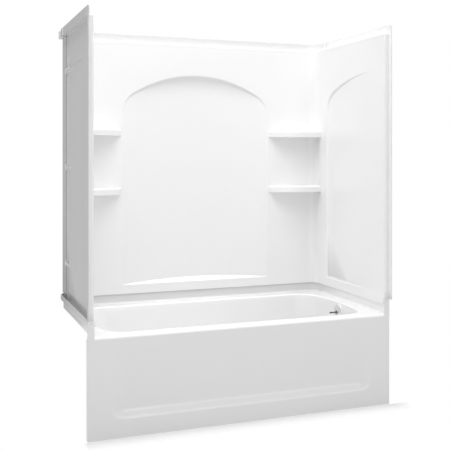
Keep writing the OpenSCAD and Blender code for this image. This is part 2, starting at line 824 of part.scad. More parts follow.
// Snap clips over the joint: a pad on the lap, a button and an arm that reaches forward past the recess
module wall_clips() {
    x0 = lap_outer_x + part_gap;
    arm_x = max(x0 + clip_t + clip_inset, end_face_x + wall_t + half_arch_depth + clip_play);
    reach = arm_x - x0 + clip_t;
    pad_rear = seam_y + clip_rear;
    pad_front = seam_y - lap_len + clip_inset;
    for (z = [lower_clip_z, middle_clip_z, upper_clip_z]) translate([0, 0, z]) {
        translate([x0, pad_front, -clip_h / 2]) cube([clip_t, pad_rear - pad_front, clip_h]);
        translate([x0, pad_front, -clip_h / 2]) cube([reach, lap_len / 2, clip_h]);
        translate([x0, seam_y + clip_inset, 0]) rotate([0, 90, 0])
            cylinder(h = reach, r = clip_button_r, $fn = 32);
        translate([arm_x, pad_rear - clip_len, -clip_arm_h / 2])
            cube([clip_t, pad_front - pad_rear + clip_len + lap_len / 2, clip_arm_h]);
    }
}

module right_wall_clips() {
    color(plastic) wall_clips();
}

module left_wall_clips() {
    color(plastic) mirror([1, 0, 0]) wall_clips();
}

// Foam bearing pad that follows the fall of the basin's floor
module floor_support() {
    x0 = -basin_x + backrest_lean + floor_r + foam_end_x;
    x1 = drain_x - drain_boss_r - foam_drain_gap;
    half_d = basin_half_d - side_lean - floor_r - foam_inset;
    under = floor_z - bath_t - part_gap;
    color("ivory") difference() {
        translate([0, basin_y + half_d, 0]) rotate([90, 0, 0]) linear_extrude(2 * half_d)
            polygon([[x0, 0], [x1, 0], [x1, under + fall(x1, 1)], [x0, under + fall(x0, 1)]]);
        for (s = [-1, 1]) translate([x0 - 1, basin_y + (s * half_d - channel_w) / 2, -1])
            cube([x1 - x0 + 2, channel_w, channel_w + 1]);
    }
}

// A dome on its flat back, pointing along +Z
module dome(r, rise, dome_r) {
    rotate_extrude($fn = 96) intersection() {
        square([r, rise]);
        translate([0, rise - dome_r]) circle(dome_r, $fn = 180);
    }
}

// Domed chromed plate with a slot for the lever, lugs for its pin and sunk seats for the screws
module overflow_faceplate() {
    slot_h = 2 * ((lever_pivot_x - plate_back_x + plate_rise) * tan(lever_swing) + lever_t * 2 / 3);
    lug_front_x = plate_back_x - plate_rise + 1;
    color(chrome) difference() {
        union() {
            translate([plate_back_x, basin_y, overflow_z]) rotate([0, -90, 0]) difference() {
                dome(plate_r, plate_rise, plate_dome_r);
                difference() {
                    translate([0, 0, -1])
                        dome(plate_r - plate_t, plate_rise - plate_t + 1, plate_dome_r - plate_t);
                    for (s = [-1, 1]) translate([s * screw_offset, 0, -1])
                        cylinder(h = plate_rise, r = seat_r, $fn = 48);
                }
            }
            for (s = [-1, 1])
                translate([lug_front_x, basin_y + s * lug_offset - lug_t / 2, overflow_z - lug_h / 2])
                    cube([lever_pivot_x + lug_h / 3 - lug_front_x, lug_t, lug_h]);
        }
        translate([plate_back_x - plate_rise - 1, basin_y - plate_slot_w / 2, overflow_z - slot_h / 2])
            cube([plate_rise + 5, plate_slot_w, slot_h]);
        for (s = [-1, 1])
            translate([plate_back_x, basin_y, overflow_z + s * screw_offset]) rotate([0, -90, 0]) {
                translate([0, 0, -1]) cylinder(h = 2 * plate_rise, r = screw_r + part_gap, $fn = 24);
                translate([0, 0, screw_seat])
                    cylinder(h = 2 * plate_rise, r = screw_head_r + part_gap, $fn = 48);
            }
        translate([lever_pivot_x, basin_y - lug_h, overflow_z]) rotate([-90, 0, 0])
            cylinder(h = 2 * lug_h, r = lever_pin_r + pin_fit, $fn = 24);
    }
}

module faceplate_screws() {
    head_x = plate_back_x - screw_seat - pin_fit;
    color(chrome) for (s = [-1, 1]) translate([head_x, basin_y, overflow_z + s * screw_offset]) {
        rotate([0, -90, 0]) difference() {
            dome(screw_head_r, screw_head_h, screw_dome_r);
            translate([0, 0, screw_head_h])
                cube([2 * screw_head_r, screw_slot, 1.6 * screw_slot], center = true);
        }
        rotate([0, 90, 0]) cylinder(h = elbow_x + elbow_flange_t - head_x, r = screw_r, $fn = 24);
    }
}

// Lever with a rounded finger end outside and a cross pin on its inner arm
module trip_lever() {
    color(chrome) translate([lever_pivot_x, basin_y, overflow_z]) {
        difference() {
            union() {
                translate([0, -lever_w / 2, 0]) rotate([-90, 0, 0])
                    cylinder(h = lever_w, r = lever_hub_r, $fn = 40);
                translate([lever_end_r - lever_len, -lever_w / 2, -lever_t / 2])
                    cube([lever_len - lever_end_r, lever_w, lever_t]);
                translate([lever_end_r - lever_len, 0, -lever_t / 2])
                    cylinder(h = lever_t, r = lever_end_r, $fn = 48);
                translate([0, -cross_r, -lever_t / 2]) cube([lever_arm, 2 * cross_r, lever_t]);
                translate([lever_arm, fork_y + fork_t, 0]) rotate([90, 0, 0])
                    cylinder(h = 2 * (fork_y + fork_t), r = cross_r, $fn = 24);
                translate([lever_arm, cross_r, 0]) rotate([90, 0, 0])
                    cylinder(h = 2 * cross_r, r = lever_t / 2, $fn = 24);
            }
            translate([0, lever_w, 0]) rotate([90, 0, 0])
                cylinder(h = 2 * lever_w, r = lever_pin_r + run_gap, $fn = 40);
        }
    }
}

module lever_pin() {
    color(brass) translate([lever_pivot_x, basin_y - lug_offset - lug_t / 2, overflow_z]) rotate([-90, 0, 0])
        cylinder(h = 2 * lug_offset + lug_t, r = lever_pin_r, $fn = 40);
}

module overflow_gasket() {
    color(black) translate([pad_back_x + eps, basin_y, overflow_z]) rotate([0, 90, 0]) difference() {
        cylinder(h = gasket_t - 2 * eps, r = pad_r - 2, $fn = 72);
        translate([0, 0, -1]) cylinder(h = gasket_t + 2, r = overflow_hole_r, $fn = 72);
    }
}

// Section of the elbow's round cup, as radius and distance from its mouth
module cup_section(r, depth, round_r) {
    square([r - round_r, depth]);
    square([r, depth - round_r]);
    translate([r - round_r, depth - round_r]) circle(round_r, $fn = 48);
}

// Cup against the gasket, lugs for the screws, and a socket down to the tube
module overflow_elbow() {
    cup_depth = tube_x + socket_r - elbow_x;
    color(plastic) difference() {
        union() {
            translate([elbow_x, basin_y, overflow_z]) rotate([0, 90, 0])
                cylinder(h = elbow_flange_t, r = pad_r - 2, $fn = 72);
            translate([elbow_x, basin_y, overflow_z]) rotate([0, 90, 0])
                rotate_extrude($fn = 72) cup_section(cup_r, cup_depth, cup_round_r);
            translate([tube_x, basin_y, elbow_foot_z])
                cylinder(h = overflow_z - elbow_foot_z, r = socket_r, $fn = 72);
        }
        difference() {
            translate([elbow_x - 1, basin_y, overflow_z]) rotate([0, 90, 0])
                rotate_extrude($fn = 72)
                    cup_section(cup_r - cup_t, cup_depth - cup_t + 1, cup_round_r - cup_t);
            for (s = [-1, 1])
                translate([elbow_x - 2, basin_y - lug_h / 2, overflow_z + s * (screw_offset + 2) - lug_h / 2])
                    cube([elbow_flange_t * 2, lug_h, lug_h]);
        }
        translate([tube_x, basin_y, elbow_foot_z - 1])
            cylinder(h = overflow_z - elbow_foot_z, r = bore_r, $fn = 72);
        translate([tube_x, basin_y, elbow_foot_z - 1])
            cylinder(h = socket_depth + 2, r = tube_r + seat_gap, $fn = 72);
        for (s = [-1, 1]) translate([elbow_x - 3, basin_y, overflow_z + s * screw_offset]) rotate([0, 90, 0])
            cylinder(h = lug_h + 2, r = screw_r + run_gap, $fn = 24);
    }
}

module overflow_tube() {
    foot = tee_top_z - socket_depth;
    length = elbow_foot_z + socket_depth - foot;
    color(plastic) translate([tube_x, basin_y, foot]) difference() {
        cylinder(h = length, r = tube_r, $fn = 72);
        translate([0, 0, -1]) cylinder(h = length + 2, r = bore_r, $fn = 72);
    }
}

// Threaded rod with a slotted clevis over the lever's cross pin
module linkage_rod() {
    slot_out = cross_r + part_gap;
    slot_in = slot_out + lever_arm * (1 - cos(lever_swing)) + part_gap;
    slot_half_h = slot_out + part_gap;
    color(brass) translate([link_x, basin_y, 0]) {
        for (s = [-1, 1]) translate([0, s * fork_y, overflow_z]) difference() {
            translate([-slot_in - fork_t, -fork_t / 2, -fork_foot])
                cube([slot_in + slot_out + 2 * fork_t, fork_t, fork_h]);
            translate([-slot_in, -fork_t, -slot_half_h])
                cube([slot_in + slot_out, 2 * fork_t, 2 * slot_half_h]);
        }
        translate([-bridge_w / 2, -fork_y - fork_t / 2, bridge_z])
            cube([bridge_w, 2 * fork_y + fork_t, bridge_t]);
        translate([0, 0, spring_top_z]) cylinder(h = bridge_z - spring_top_z + 1, r = rod_r, $fn = 32);
        translate([0, 0, spring_top_z + eps]) cylinder(h = spring_plate_t, r = spring_r, $fn = 48);
        translate([0, 0, spring_top_z - spring_stub]) cylinder(h = spring_stub + 1, r = rod_r, $fn = 32);
    }
}

module linkage_nuts() {
    nut_gap = 0.2;
    color(brass) translate([link_x, basin_y, 0])
        for (z = [bridge_z - nut_gap - link_nut_t, spring_top_z + spring_plate_t + nut_gap]) difference() {
            translate([0, 0, z]) cylinder(h = link_nut_t, r = link_nut_r, $fn = 6);
            translate([0, 0, z - 1]) cylinder(h = link_nut_t + 2, r = rod_r + run_gap, $fn = 32);
        }
}

// Coil striker: an open helix of wire with flat ends
function coil_point(a, top) =
    [spring_coil_r * cos(a), spring_coil_r * sin(a), top * a / (360 * spring_turns)];
module linkage_spring() {
    per_turn = 14;
    sides = 6;
    rings = per_turn * spring_turns + 1;
    length = spring_top_z - spring_foot_z - 2 * spring_wire_r - 2 * eps;
    points = [for (k = [0:rings - 1], i = [0:sides - 1]) let (
        a = 360 * k / per_turn,
        b = 360 * i / sides,
        p = coil_point(a, length),
        r = spring_wire_r * cos(b)
    ) [p[0] + r * cos(a), p[1] + r * sin(a), p[2] + spring_wire_r * sin(b)]];
    color(chrome) translate([link_x, basin_y, spring_foot_z + spring_wire_r]) polyhedron(
        points,
        turned(concat(
            [[for (i = [0:sides - 1]) i]],
            [[for (i = [sides - 1:-1:0]) (rings - 1) * sides + i]],
            [for (k = [0:rings - 2], i = [0:sides - 1], h = [0, 1]) let (j = (i + 1) % sides, a = k * sides)
                h == 0 ? [a + j, a + i, a + sides + i] : [a + j, a + sides + i, a + sides + j]]
        ))
    );
}

// Tee with sockets above, below and towards the drain
module waste_tee() {
    color(plastic) difference() {
        union() {
            translate([tube_x, basin_y, tee_foot_z])
                cylinder(h = tee_top_z - tee_foot_z, r = socket_r, $fn = 72);
            translate([tee_side_x, basin_y, shoe_tube_z]) rotate([0, 90, 0])
                cylinder(h = tube_x - tee_side_x, r = socket_r, $fn = 72);
        }
        translate([tube_x, basin_y, tee_foot_z - 1])
            cylinder(h = tee_top_z - tee_foot_z + 2, r = bore_r, $fn = 72);
        translate([tube_x, basin_y, tee_top_z - socket_depth - seat_gap])
            cylinder(h = socket_depth + 1, r = tube_r + seat_gap, $fn = 72);
        translate([tee_side_x - 1, basin_y, shoe_tube_z]) rotate([0, 90, 0])
            cylinder(h = tube_x - tee_side_x + 1, r = bore_r, $fn = 72);
        translate([tee_side_x - 1, basin_y, shoe_tube_z]) rotate([0, 90, 0])
            cylinder(h = tube_insert + seat_gap + 1, r = tube_r + seat_gap, $fn = 72);
        translate([tube_x, basin_y, tee_foot_z - 1])
            cylinder(h = short_socket + seat_gap + 1, r = tube_r + seat_gap, $fn = 72);
    }
}

// A slip-joint nut over a socket's mouth, which lies at the origin facing -Z
module slip_nut() {
    difference() {
        translate([0, 0, -washer_t - nut_lip]) cylinder(h = nut_h, r = nut_r, $fn = 8);
        translate([0, 0, -washer_t]) cylinder(h = nut_h, r = socket_r + seat_gap, $fn = 72);
        translate([0, 0, -washer_t - nut_lip - 1]) cylinder(h = nut_h, r = tube_r + seat_gap, $fn = 72);
    }
}

module slip_washer() {
    translate([0, 0, eps - washer_t]) difference() {
        cylinder(h = washer_t - 2 * eps, r = socket_r - seat_gap, $fn = 72);
        translate([0, 0, -1]) cylinder(h = washer_t + 2, r = tube_r + pin_fit, $fn = 72);
    }
}

// Puts a part at each of the four slip joints
module at_slip_joints() {
    translate([tube_x, basin_y, tee_top_z]) rotate([180, 0, 0]) children();
    translate([tube_x, basin_y, elbow_foot_z]) children();
    translate([tube_x, basin_y, tee_foot_z]) children();
    translate([tee_side_x, basin_y, shoe_tube_z]) rotate([0, 90, 0]) children();
}

module slip_nuts() {
    color(white) at_slip_joints() slip_nut();
}

module slip_washers() {
    color(black) at_slip_joints() slip_washer();
}

module shoe_tube() {
    x0 = shoe_socket_x - tube_insert;
    length = tee_side_x + tube_insert - x0;
    color(plastic) translate([x0, basin_y, shoe_tube_z]) rotate([0, 90, 0]) difference() {
        cylinder(h = length, r = tube_r, $fn = 72);
        translate([0, 0, -1]) cylinder(h = length + 2, r = bore_r, $fn = 72);
    }
}

// Cup under the drain with a flange against its gasket and a socket for the shoe tube
module drain_shoe() {
    color(plastic) difference() {
        union() {
            translate([drain_x, basin_y, shoe_foot_z])
                cylinder(h = shoe_top_z - shoe_foot_z, r = shoe_r, $fn = 72);
            translate([drain_x, basin_y, shoe_top_z - shoe_t])
                cylinder(h = shoe_t, r = drain_boss_r - 2, $fn = 72);
            translate([drain_x, basin_y, shoe_tube_z]) rotate([0, 90, 0])
                cylinder(h = shoe_socket_x - drain_x, r = socket_r, $fn = 72);
        }
        translate([drain_x, basin_y, shoe_foot_z + shoe_t]) cylinder(h = rim_h, r = bore_r, $fn = 72);
        translate([drain_x, basin_y, sleeve_foot_z - seat_gap])
            cylinder(h = rim_h, r = sleeve_r + seat_gap, $fn = 72);
        translate([drain_x, basin_y, shoe_tube_z]) rotate([0, 90, 0])
            cylinder(h = shoe_socket_x - drain_x + 1, r = bore_r, $fn = 72);
        translate([shoe_socket_x - tube_insert - seat_gap, basin_y, shoe_tube_z]) rotate([0, 90, 0])
            cylinder(h = tube_insert + 1, r = tube_r + seat_gap, $fn = 72);
    }
}

module shoe_gasket() {
    color(black) translate([drain_x, basin_y, shoe_top_z + eps]) difference() {
        cylinder(h = shoe_gasket_t - 2 * eps, r = drain_boss_r - 3, $fn = 72);
        translate([0, 0, -1]) cylinder(h = shoe_gasket_t + 2, r = drain_hole_r, $fn = 72);
    }
}

// Chromed drain body: a dished flange and a threaded sleeve down into the shoe
module drain_flange() {
    color(chrome) translate([drain_x, basin_y, 0]) difference() {
        union() {
            translate([0, 0, drain_seat_z + eps]) cylinder(h = 1, r = drain_flange_r, $fn = 96);
            translate([0, 0, drain_seat_z + eps])
                cylinder(h = flange_h - eps, r = drain_flange_r - flange_step, $fn = 96);
            translate([0, 0, sleeve_foot_z])
                cylinder(h = drain_seat_z - sleeve_foot_z + 1, r = sleeve_r, $fn = 72);
        }
        translate([0, 0, sleeve_foot_z - 1]) cylinder(h = rim_h, r = flange_bore_r, $fn = 72);
        translate([0, 0, drain_seat_z - 1])
            cylinder(h = flange_h + 1 + pin_fit, r1 = flange_bore_r, r2 = flange_dish_r, $fn = 96);
    }
}

// Domed stopper on a stem, whose lower end has an eye round the rocker arm's wire
module drain_stopper() {
    stem_foot_z = shoe_tube_z - 2 * stopper_stem_r;
    color(chrome) translate([drain_x, basin_y, 0]) difference() {
        union() {
            translate([0, 0, stopper_seat_z]) rotate_extrude($fn = 96) intersection() {
                square([stopper_r, stopper_h]);
                translate([0, stopper_h - stopper_dome_r]) circle(stopper_dome_r, $fn = 180);
            }
            translate([0, 0, stem_foot_z])
                cylinder(h = stopper_seat_z - stem_foot_z + 1, r = stopper_stem_r, $fn = 40);
            translate([0, 0, stopper_seat_z - stopper_hub_h])
                cylinder(h = stopper_hub_h + 1, r = stopper_hub_r, $fn = 48);
        }
        translate([0, 0, shoe_tube_z]) rotate([0, 90, 0])
            cylinder(h = 3 * stopper_stem_r, r = wire_r + wire_play, center = true, $fn = 40);
    }
}

module stopper_seal() {
    color(black) translate([drain_x, basin_y, stopper_seat_z - seal_t - eps]) difference() {
        cylinder(h = seal_t, r = seal_r, $fn = 72);
        translate([0, 0, -1]) cylinder(h = seal_t + 2, r = stopper_hub_r + pin_fit, $fn = 72);
    }
}

// Wire lever that rests on a cross foot in the shoe tube, with a round pad under the striker
module rocker_arm() {
    color(brass) translate([rocker_x, basin_y, shoe_tube_z]) {
        translate([-rocker_head - wire_past, 0, 0]) rotate([0, 90, 0])
            cylinder(h = rocker_reach + rocker_head + wire_past, r = wire_r, $fn = 32);
        translate([0, 0, -rocker_drop]) cylinder(h = rocker_drop, r = wire_r, $fn = 32);
        translate([0, rocker_foot_half, -rocker_drop]) rotate([90, 0, 0])
            cylinder(h = 2 * rocker_foot_half, r = rocker_foot_r, $fn = 32);
        translate([rocker_reach, 0, -rocker_pad_t / 2]) cylinder(h = rocker_pad_t, r = spring_r, $fn = 48);
    }
}

// Outlet tube that ends in a stub with the outer size of 1 1/2 in pipe
module tailpiece() {
    neck_z = outlet_foot_z + outlet_h - flange_h;
    color(plastic) translate([tube_x, basin_y, 0]) difference() {
        union() {
            translate([0, 0, outlet_foot_z]) cylinder(h = outlet_h, r = outlet_r, $fn = 96);
            translate([0, 0, neck_z]) cylinder(h = tee_foot_z + short_socket - neck_z, r = tube_r, $fn = 72);
        }
        translate([0, 0, outlet_foot_z - 1])
            cylinder(h = outlet_h + 1 - flange_h, r = outlet_r - outlet_t, $fn = 96);
        translate([0, 0, outlet_foot_z]) cylinder(h = tee_top_z, r = bore_r, $fn = 72);
    }
}

bathtub();
back_wall();
left_end_wall();
right_end_wall();
left_wall_clips();
right_wall_clips();
floor_support();
overflow_faceplate();
faceplate_screws();
trip_lever();
lever_pin();
overflow_gasket();
overflow_elbow();
overflow_tube();
linkage_rod();
linkage_nuts();
linkage_spring();
waste_tee();
slip_nuts();
slip_washers();
shoe_tube();
drain_shoe();
shoe_gasket();
drain_flange();
drain_stopper();
stopper_seal();
rocker_arm();
tailpiece();
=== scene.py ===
"""White moulded alcove bath with its three-piece wall surround, on a white studio floor."""

import json
import math
from itertools import product

import bpy
import numpy as np
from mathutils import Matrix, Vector
from mathutils.geometry import tessellate_polygon


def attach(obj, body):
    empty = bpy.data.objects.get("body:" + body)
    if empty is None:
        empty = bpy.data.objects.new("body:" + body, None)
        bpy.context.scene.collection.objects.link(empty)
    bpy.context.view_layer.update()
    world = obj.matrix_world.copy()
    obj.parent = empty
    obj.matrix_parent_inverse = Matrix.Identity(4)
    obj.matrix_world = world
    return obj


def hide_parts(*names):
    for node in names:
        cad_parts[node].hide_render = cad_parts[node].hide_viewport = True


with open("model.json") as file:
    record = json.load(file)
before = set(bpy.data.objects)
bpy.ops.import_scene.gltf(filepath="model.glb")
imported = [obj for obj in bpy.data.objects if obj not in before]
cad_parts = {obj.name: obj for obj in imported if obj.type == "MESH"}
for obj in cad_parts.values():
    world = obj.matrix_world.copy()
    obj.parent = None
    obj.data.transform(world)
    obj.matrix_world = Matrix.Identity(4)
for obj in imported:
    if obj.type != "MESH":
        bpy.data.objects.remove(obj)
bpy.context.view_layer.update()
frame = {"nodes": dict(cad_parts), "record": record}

MM = 0.001

# Sizes in millimetres, in the part's frame
HALF_W = 762.0
FRONT_Y = -405.5
REAR_Y = 405.5
TOP = 1905.0
INSET = 29.0
END_X = HALF_W - INSET
BACK_Y = REAR_Y - INSET
APRON_Y = FRONT_Y + 24.0
TOP_LEDGE = TOP - 38.0
WALL_FOOT = 503.2
WALL_T = 4.0
FLANGE_T = 4.0
CORNER_R = 45.0
EDGE_R = 7.0
NOSE_R = 12.0
FOOT_R = 2.0
FOOT_REACH = 23.5
FLANGE_FILLET = 3.0
FLANGE_CORNER = 6.0
SEAM_Y = 281.5
LAP = 20.0
LAP_X = 741.4
NAIL_R = 2.4
NAIL_IN = 12.0
NAIL_HEIGHTS = (620.0, 1020.0, 1420.0, 1820.0)
PAD_T = 3.5
PAD_MEET_Y = -115.0
PAD_OVERLAP = 2.0
PAD_REAR_Y = 91.5

# Arched recesses: the back wall's whole arch, then the end walls' half arch
SILL_Z = 552.0
ARCH_HW = 425.0
ARCH_TOP = 1687.0
ARCH_R = 716.0
SHOULDER_R = 130.0
ARCH_DEPTH = 23.0
HALF_FRONT = -269.5
HALF_REAR = 227.5
HALF_ARCH_W = 483.0
HALF_TOP = 1685.0
HALF_SHOULDER = 118.0
HALF_R = 1118.0
HALF_DEPTH = 12.0
HALF_SILL_H = 15.0
SIDE_STEPS, SHOULDER_STEPS, CROWN_STEPS, MIDDLE_STEPS = 36, 14, 40, 24
PATCH_X = 450.0
PATCH_FRONT, PATCH_REAR = -290.0, 250.0
PATCH_LOW, PATCH_HIGH = 530.0, 1712.0
PATCH_MIDDLE_Z = 1080.0

# Corner shelves, with the centre and radius of their curved end
SHELF_TOPS = (1392.0, 1075.0)
SHELF_LIP = 37.0
SHELF_Y = 301.5
SHELF_T = 3.0
SHELF_FOOT_R = 3.0
SHELF_TOP_R = 8.0
SHELF_ARC_X, SHELF_ARC_Y, SHELF_ARC_R = 623.0, 579.67, 278.17
SHELF_RUN_END = 660.0
HOLLOW_X = 473.0

# Bath
BATH_T = 5.0
RIM_H = 454.0
RIM_R = 14.0
LEDGE_Z = 503.0
TILE_TOP = 527.0
UP_X = 744.0
UP_Y = 387.5
UP_R = 56.0
FILLET_R = 9.0
LEDGE_R = 3.0
TILE_STEP = 12.0
TILE_R = 2.0
RETURN_D = 28.0
RETURN_R = 2.0
BASIN_X = 683.0
BASIN_Y = -4.5
BASIN_HALF_D = 305.0
END_BOW = 44.0
LIP_R = 9.0
LIP_CORNER, FLOOR_CORNER, SMALLEST_CORNER = 80.0, 110.0, 20.0
BACKREST_LEAN, DRAIN_LEAN, SIDE_LEAN = 110.0, 22.0, 34.0
COVE_R = 70.0
FLOOR_Z = 104.0
FLOOR_FALL = 10.0
DRAIN_X = 529.4
DRAIN_R = 41.0
OVERFLOW_Z = 400.0
OVERFLOW_HOLE_R = 33.0
ARC_STEPS, END_STEPS, LONG_STEPS = 12, 46, 56
EAR_X, EAR_LOW, EAR_R = 731.0, 440.0, 5.0
EAR_NAIL = (746.5, 515.0)

# Apron's sunk field: straight from its foot up to the top, where it fades out
FIELD_HW = 652.0
FIELD_TAPER = 12.0
FIELD_LOW = 66.0
FIELD_FOOT = 84.0
FIELD_DEEP_Z = 124.0
FIELD_TOP = 400.0
FIELD_R = 60.0
FIELD_DEPTH = 9.0
FIELD_BEVEL = 58.0
FOOT_STEEPNESS = 1.45
OUTER_LINE, INNER_LINE = 6.0, 53.0
RIB_FOOT = 62.0
RIB_COUNT = 5
RIB_SPAN = 2 * HALF_W - 220.0


# Meshes
def unit(v):
    v = np.asarray(v, float)
    return v / np.maximum(np.linalg.norm(v, axis=-1, keepdims=True), 1e-12)


def arc(steps, start=0, turn=90):
    """Cosine and sine at even steps of a turn, both ends included."""
    angles = [math.radians(start + turn * i / steps) for i in range(steps + 1)]
    return [(math.cos(a), math.sin(a)) for a in angles]


def circle(cx, cy, r, steps=16):
    return [(cx + r * c, cy + r * s) for c, s in arc(steps, turn=360)[:-1]]


def other_side(path):
    """A path of (x, y, normal) mirrored and run backwards."""
    return [(-x, y, -nx, ny) for x, y, nx, ny in path[::-1]]


def smooth(x):
    x = np.clip(x, 0, 1)
    return x * x * (3 - 2 * x)


def soft_min(a, b, k):
    h = np.clip(0.5 + 0.5 * (b - a) / k, 0, 1)
    return b * (1 - h) + a * h - k * h * (1 - h)


def soft_drop(x):
    """From 1 down to 0 as x passes nought."""
    return 1 / (1 + np.exp(np.clip(x, -30, 30)))


def soft_slope(x):
    """Nought, then x, with a rounded foot."""
    return np.log1p(np.exp(np.clip(x, -30, 30)))


class Shell:
    """Front faces of a moulding with a normal at each corner; made() thickens and closes them."""

    def __init__(self, thickness):
        self.t = thickness
        self.points, self.normals, self.faces = [], [], []

    def add(self, points, normals, faces):
        start = sum(len(p) for p in self.points)
        self.points.append(np.asarray(points, float).reshape(-1, 3))
        self.normals.append(unit(np.asarray(normals, float).reshape(-1, 3)))
        self.faces += [[start + i for i in f] for f in faces]

    def grid(self, points, normals, wrap=False, skip=None):
        """Quads over rows of points, turned to their normals' side, less those that skip names."""
        p, n = np.asarray(points, float), np.asarray(normals, float)
        rows, cols = p.shape[:2]
        cross = np.cross(p[:-1, 1:] - p[:-1, :-1], p[1:, :-1] - p[:-1, :-1])
        flip = (cross * n[:-1, :-1]).sum() < 0
        faces = []
        for r in range(rows - 1):
            for c in range(cols if wrap else cols - 1):
                d = (c + 1) % cols
                if skip is not None and skip((p[r, c] + p[r + 1, d]) / 2):
                    continue
                quad = [r * cols + c, r * cols + d, (r + 1) * cols + d, (r + 1) * cols + c]
                faces.append(quad[::-1] if flip else quad)
        self.add(p, n, faces)

    def sweep(self, path, profile, skip=None):
        """Carries a profile (outward distance, height, its normal) along a path (x, y, inward normal)."""
        p = [[(x - nx * dist, y - ny * dist, z) for x, y, nx, ny in path] for dist, z, _, _ in profile]
        n = [[(nx * pn, ny * pn, pz) for _, _, nx, ny in path] for _, _, pn, pz in profile]
        self.grid(p, n, skip=skip)

    def polygon(self, loops, normal, to3d):
        """Flat piece: outer loop then holes, as 2-D points that to3d places."""
        tris = tessellate_polygon([[Vector((a, b, 0)) for a, b in loop] for loop in loops])
        p = np.array([to3d(a, b) for loop in loops for a, b in loop])
        faces = []
        for t in map(list, tris):
            n = np.cross(p[t[1]] - p[t[0]], p[t[2]] - p[t[0]])
            faces.append(t if np.dot(n, normal) > 0 else t[::-1])
        self.add(p, np.tile(normal, (len(p), 1)), faces)

    def mirrored(self):
        """The same on the other side of the middle."""
        other = Shell(self.t)
        other.points = [p * (-1, 1, 1) for p in self.points]
        other.normals = [n * (-1, 1, 1) for n in self.normals]
        other.faces = [f[::-1] for f in self.faces]
        return other

    def welded(self):
        """Places, their mean normals, and faces with corner normals, after equal points are merged."""
        p, n = np.concatenate(self.points), np.concatenate(self.normals)
        key = np.round(p / 0.02).astype(np.int64)
        _, first, same = np.unique(key, axis=0, return_index=True, return_inverse=True)
        same = same.reshape(-1)
        mean = np.zeros((len(first), 3))
        np.add.at(mean, same, n)
        faces, corner_n = [], []
        for f in self.faces:
            g, gn = [], []
            for i in f:
                if not g or (same[i] != g[-1] and same[i] != g[0]):
                    g.append(int(same[i]))
                    gn.append(n[i])
            if len(g) >= 3:
                faces.append(g)
                corner_n.append(gn)
        return p[first], unit(mean), faces, corner_n

    def made(self):
        """Vertices in mm, faces and corner normals of the closed shell."""
        spot, mean, faces, corner_n = self.welded()
        if self.t <= 0:
            return spot, faces, corner_n
        count = len(spot)
        edges = {(a, b) for g in faces for a, b in zip(g, g[1:] + g[:1])}
        back = [[i + count for i in g[::-1]] for g in faces]
        back_n = [[-v for v in gn[::-1]] for gn in corner_n]
        rim, rim_n = [], []
        for a, b in sorted(edges):
            if (b, a) not in edges:
                side = unit(np.cross(spot[b] - spot[a], (mean[a] + mean[b]) / 2))
                rim.append([b, a, a + count, b + count])
                rim_n.append([side] * 4)
        verts = np.concatenate([spot, spot - mean * self.t])
        return verts, faces + back + rim, corner_n + back_n + rim_n


def mesh_object(name, shells, material):
    """One mesh object from several shells."""
    verts, faces, normals = [], [], []
    for shell in shells:
        v, f, n = shell.made()
        start = sum(len(x) for x in verts)
        verts.append(v)
        faces += [[start + i for i in g] for g in f]
        normals += n
    mesh = bpy.data.meshes.new(name)
    mesh.from_pydata((np.concatenate(verts) * MM).tolist(), [], faces)
    mesh.shade_smooth()
    mesh.normals_split_custom_set([tuple(float(c) for c in v) for f in normals for v in f])
    mesh.materials.append(material)
    obj = bpy.data.objects.new(name, mesh)
    bpy.context.scene.collection.objects.link(obj)
    return obj


def box_shell(x0, x1, y0, y1, z0, z1, r):
    """A closed box with flat faces and bevels of width r."""
    shell = Shell(0)
    low, high = np.array([x0, y0, z0]), np.array([x1, y1, z1])
    turns = ((-1, -1), (1, -1), (1, 1), (-1, 1))

    def face(corners, outward):
        """A face over corners, each given by its signs and by the axis that its point isn't inset on."""
        points, normals = [], []
        for signs, main in corners:
            axis = np.eye(3)[main]
            points.append((low + high) / 2 + np.array(signs) * ((high - low) / 2 - r * (1 - axis)))
            normals.append(axis * signs[main])
        cross = np.cross(points[1] - points[0], points[2] - points[0])
        order = list(range(len(points)))
        shell.add(points, normals, [order if np.dot(cross, outward) > 0 else order[::-1]])

    for a in range(3):
        b, c = (a + 1) % 3, (a + 2) % 3

        def signs(sign_a, sign_b, sign_c):
            return np.roll([sign_a, sign_b, sign_c], a)

        for sign in (-1, 1):
            face([(signs(sign, *turn), a) for turn in turns], signs(sign, 0, 0))
        for turn in turns:
            start, end = signs(-1, *turn), signs(1, *turn)
            face([(start, b), (end, b), (end, c), (start, c)], signs(0, *turn))
    for corner in product((-1, 1), repeat=3):
        face([(corner, main) for main in range(3)], corner)
    return shell


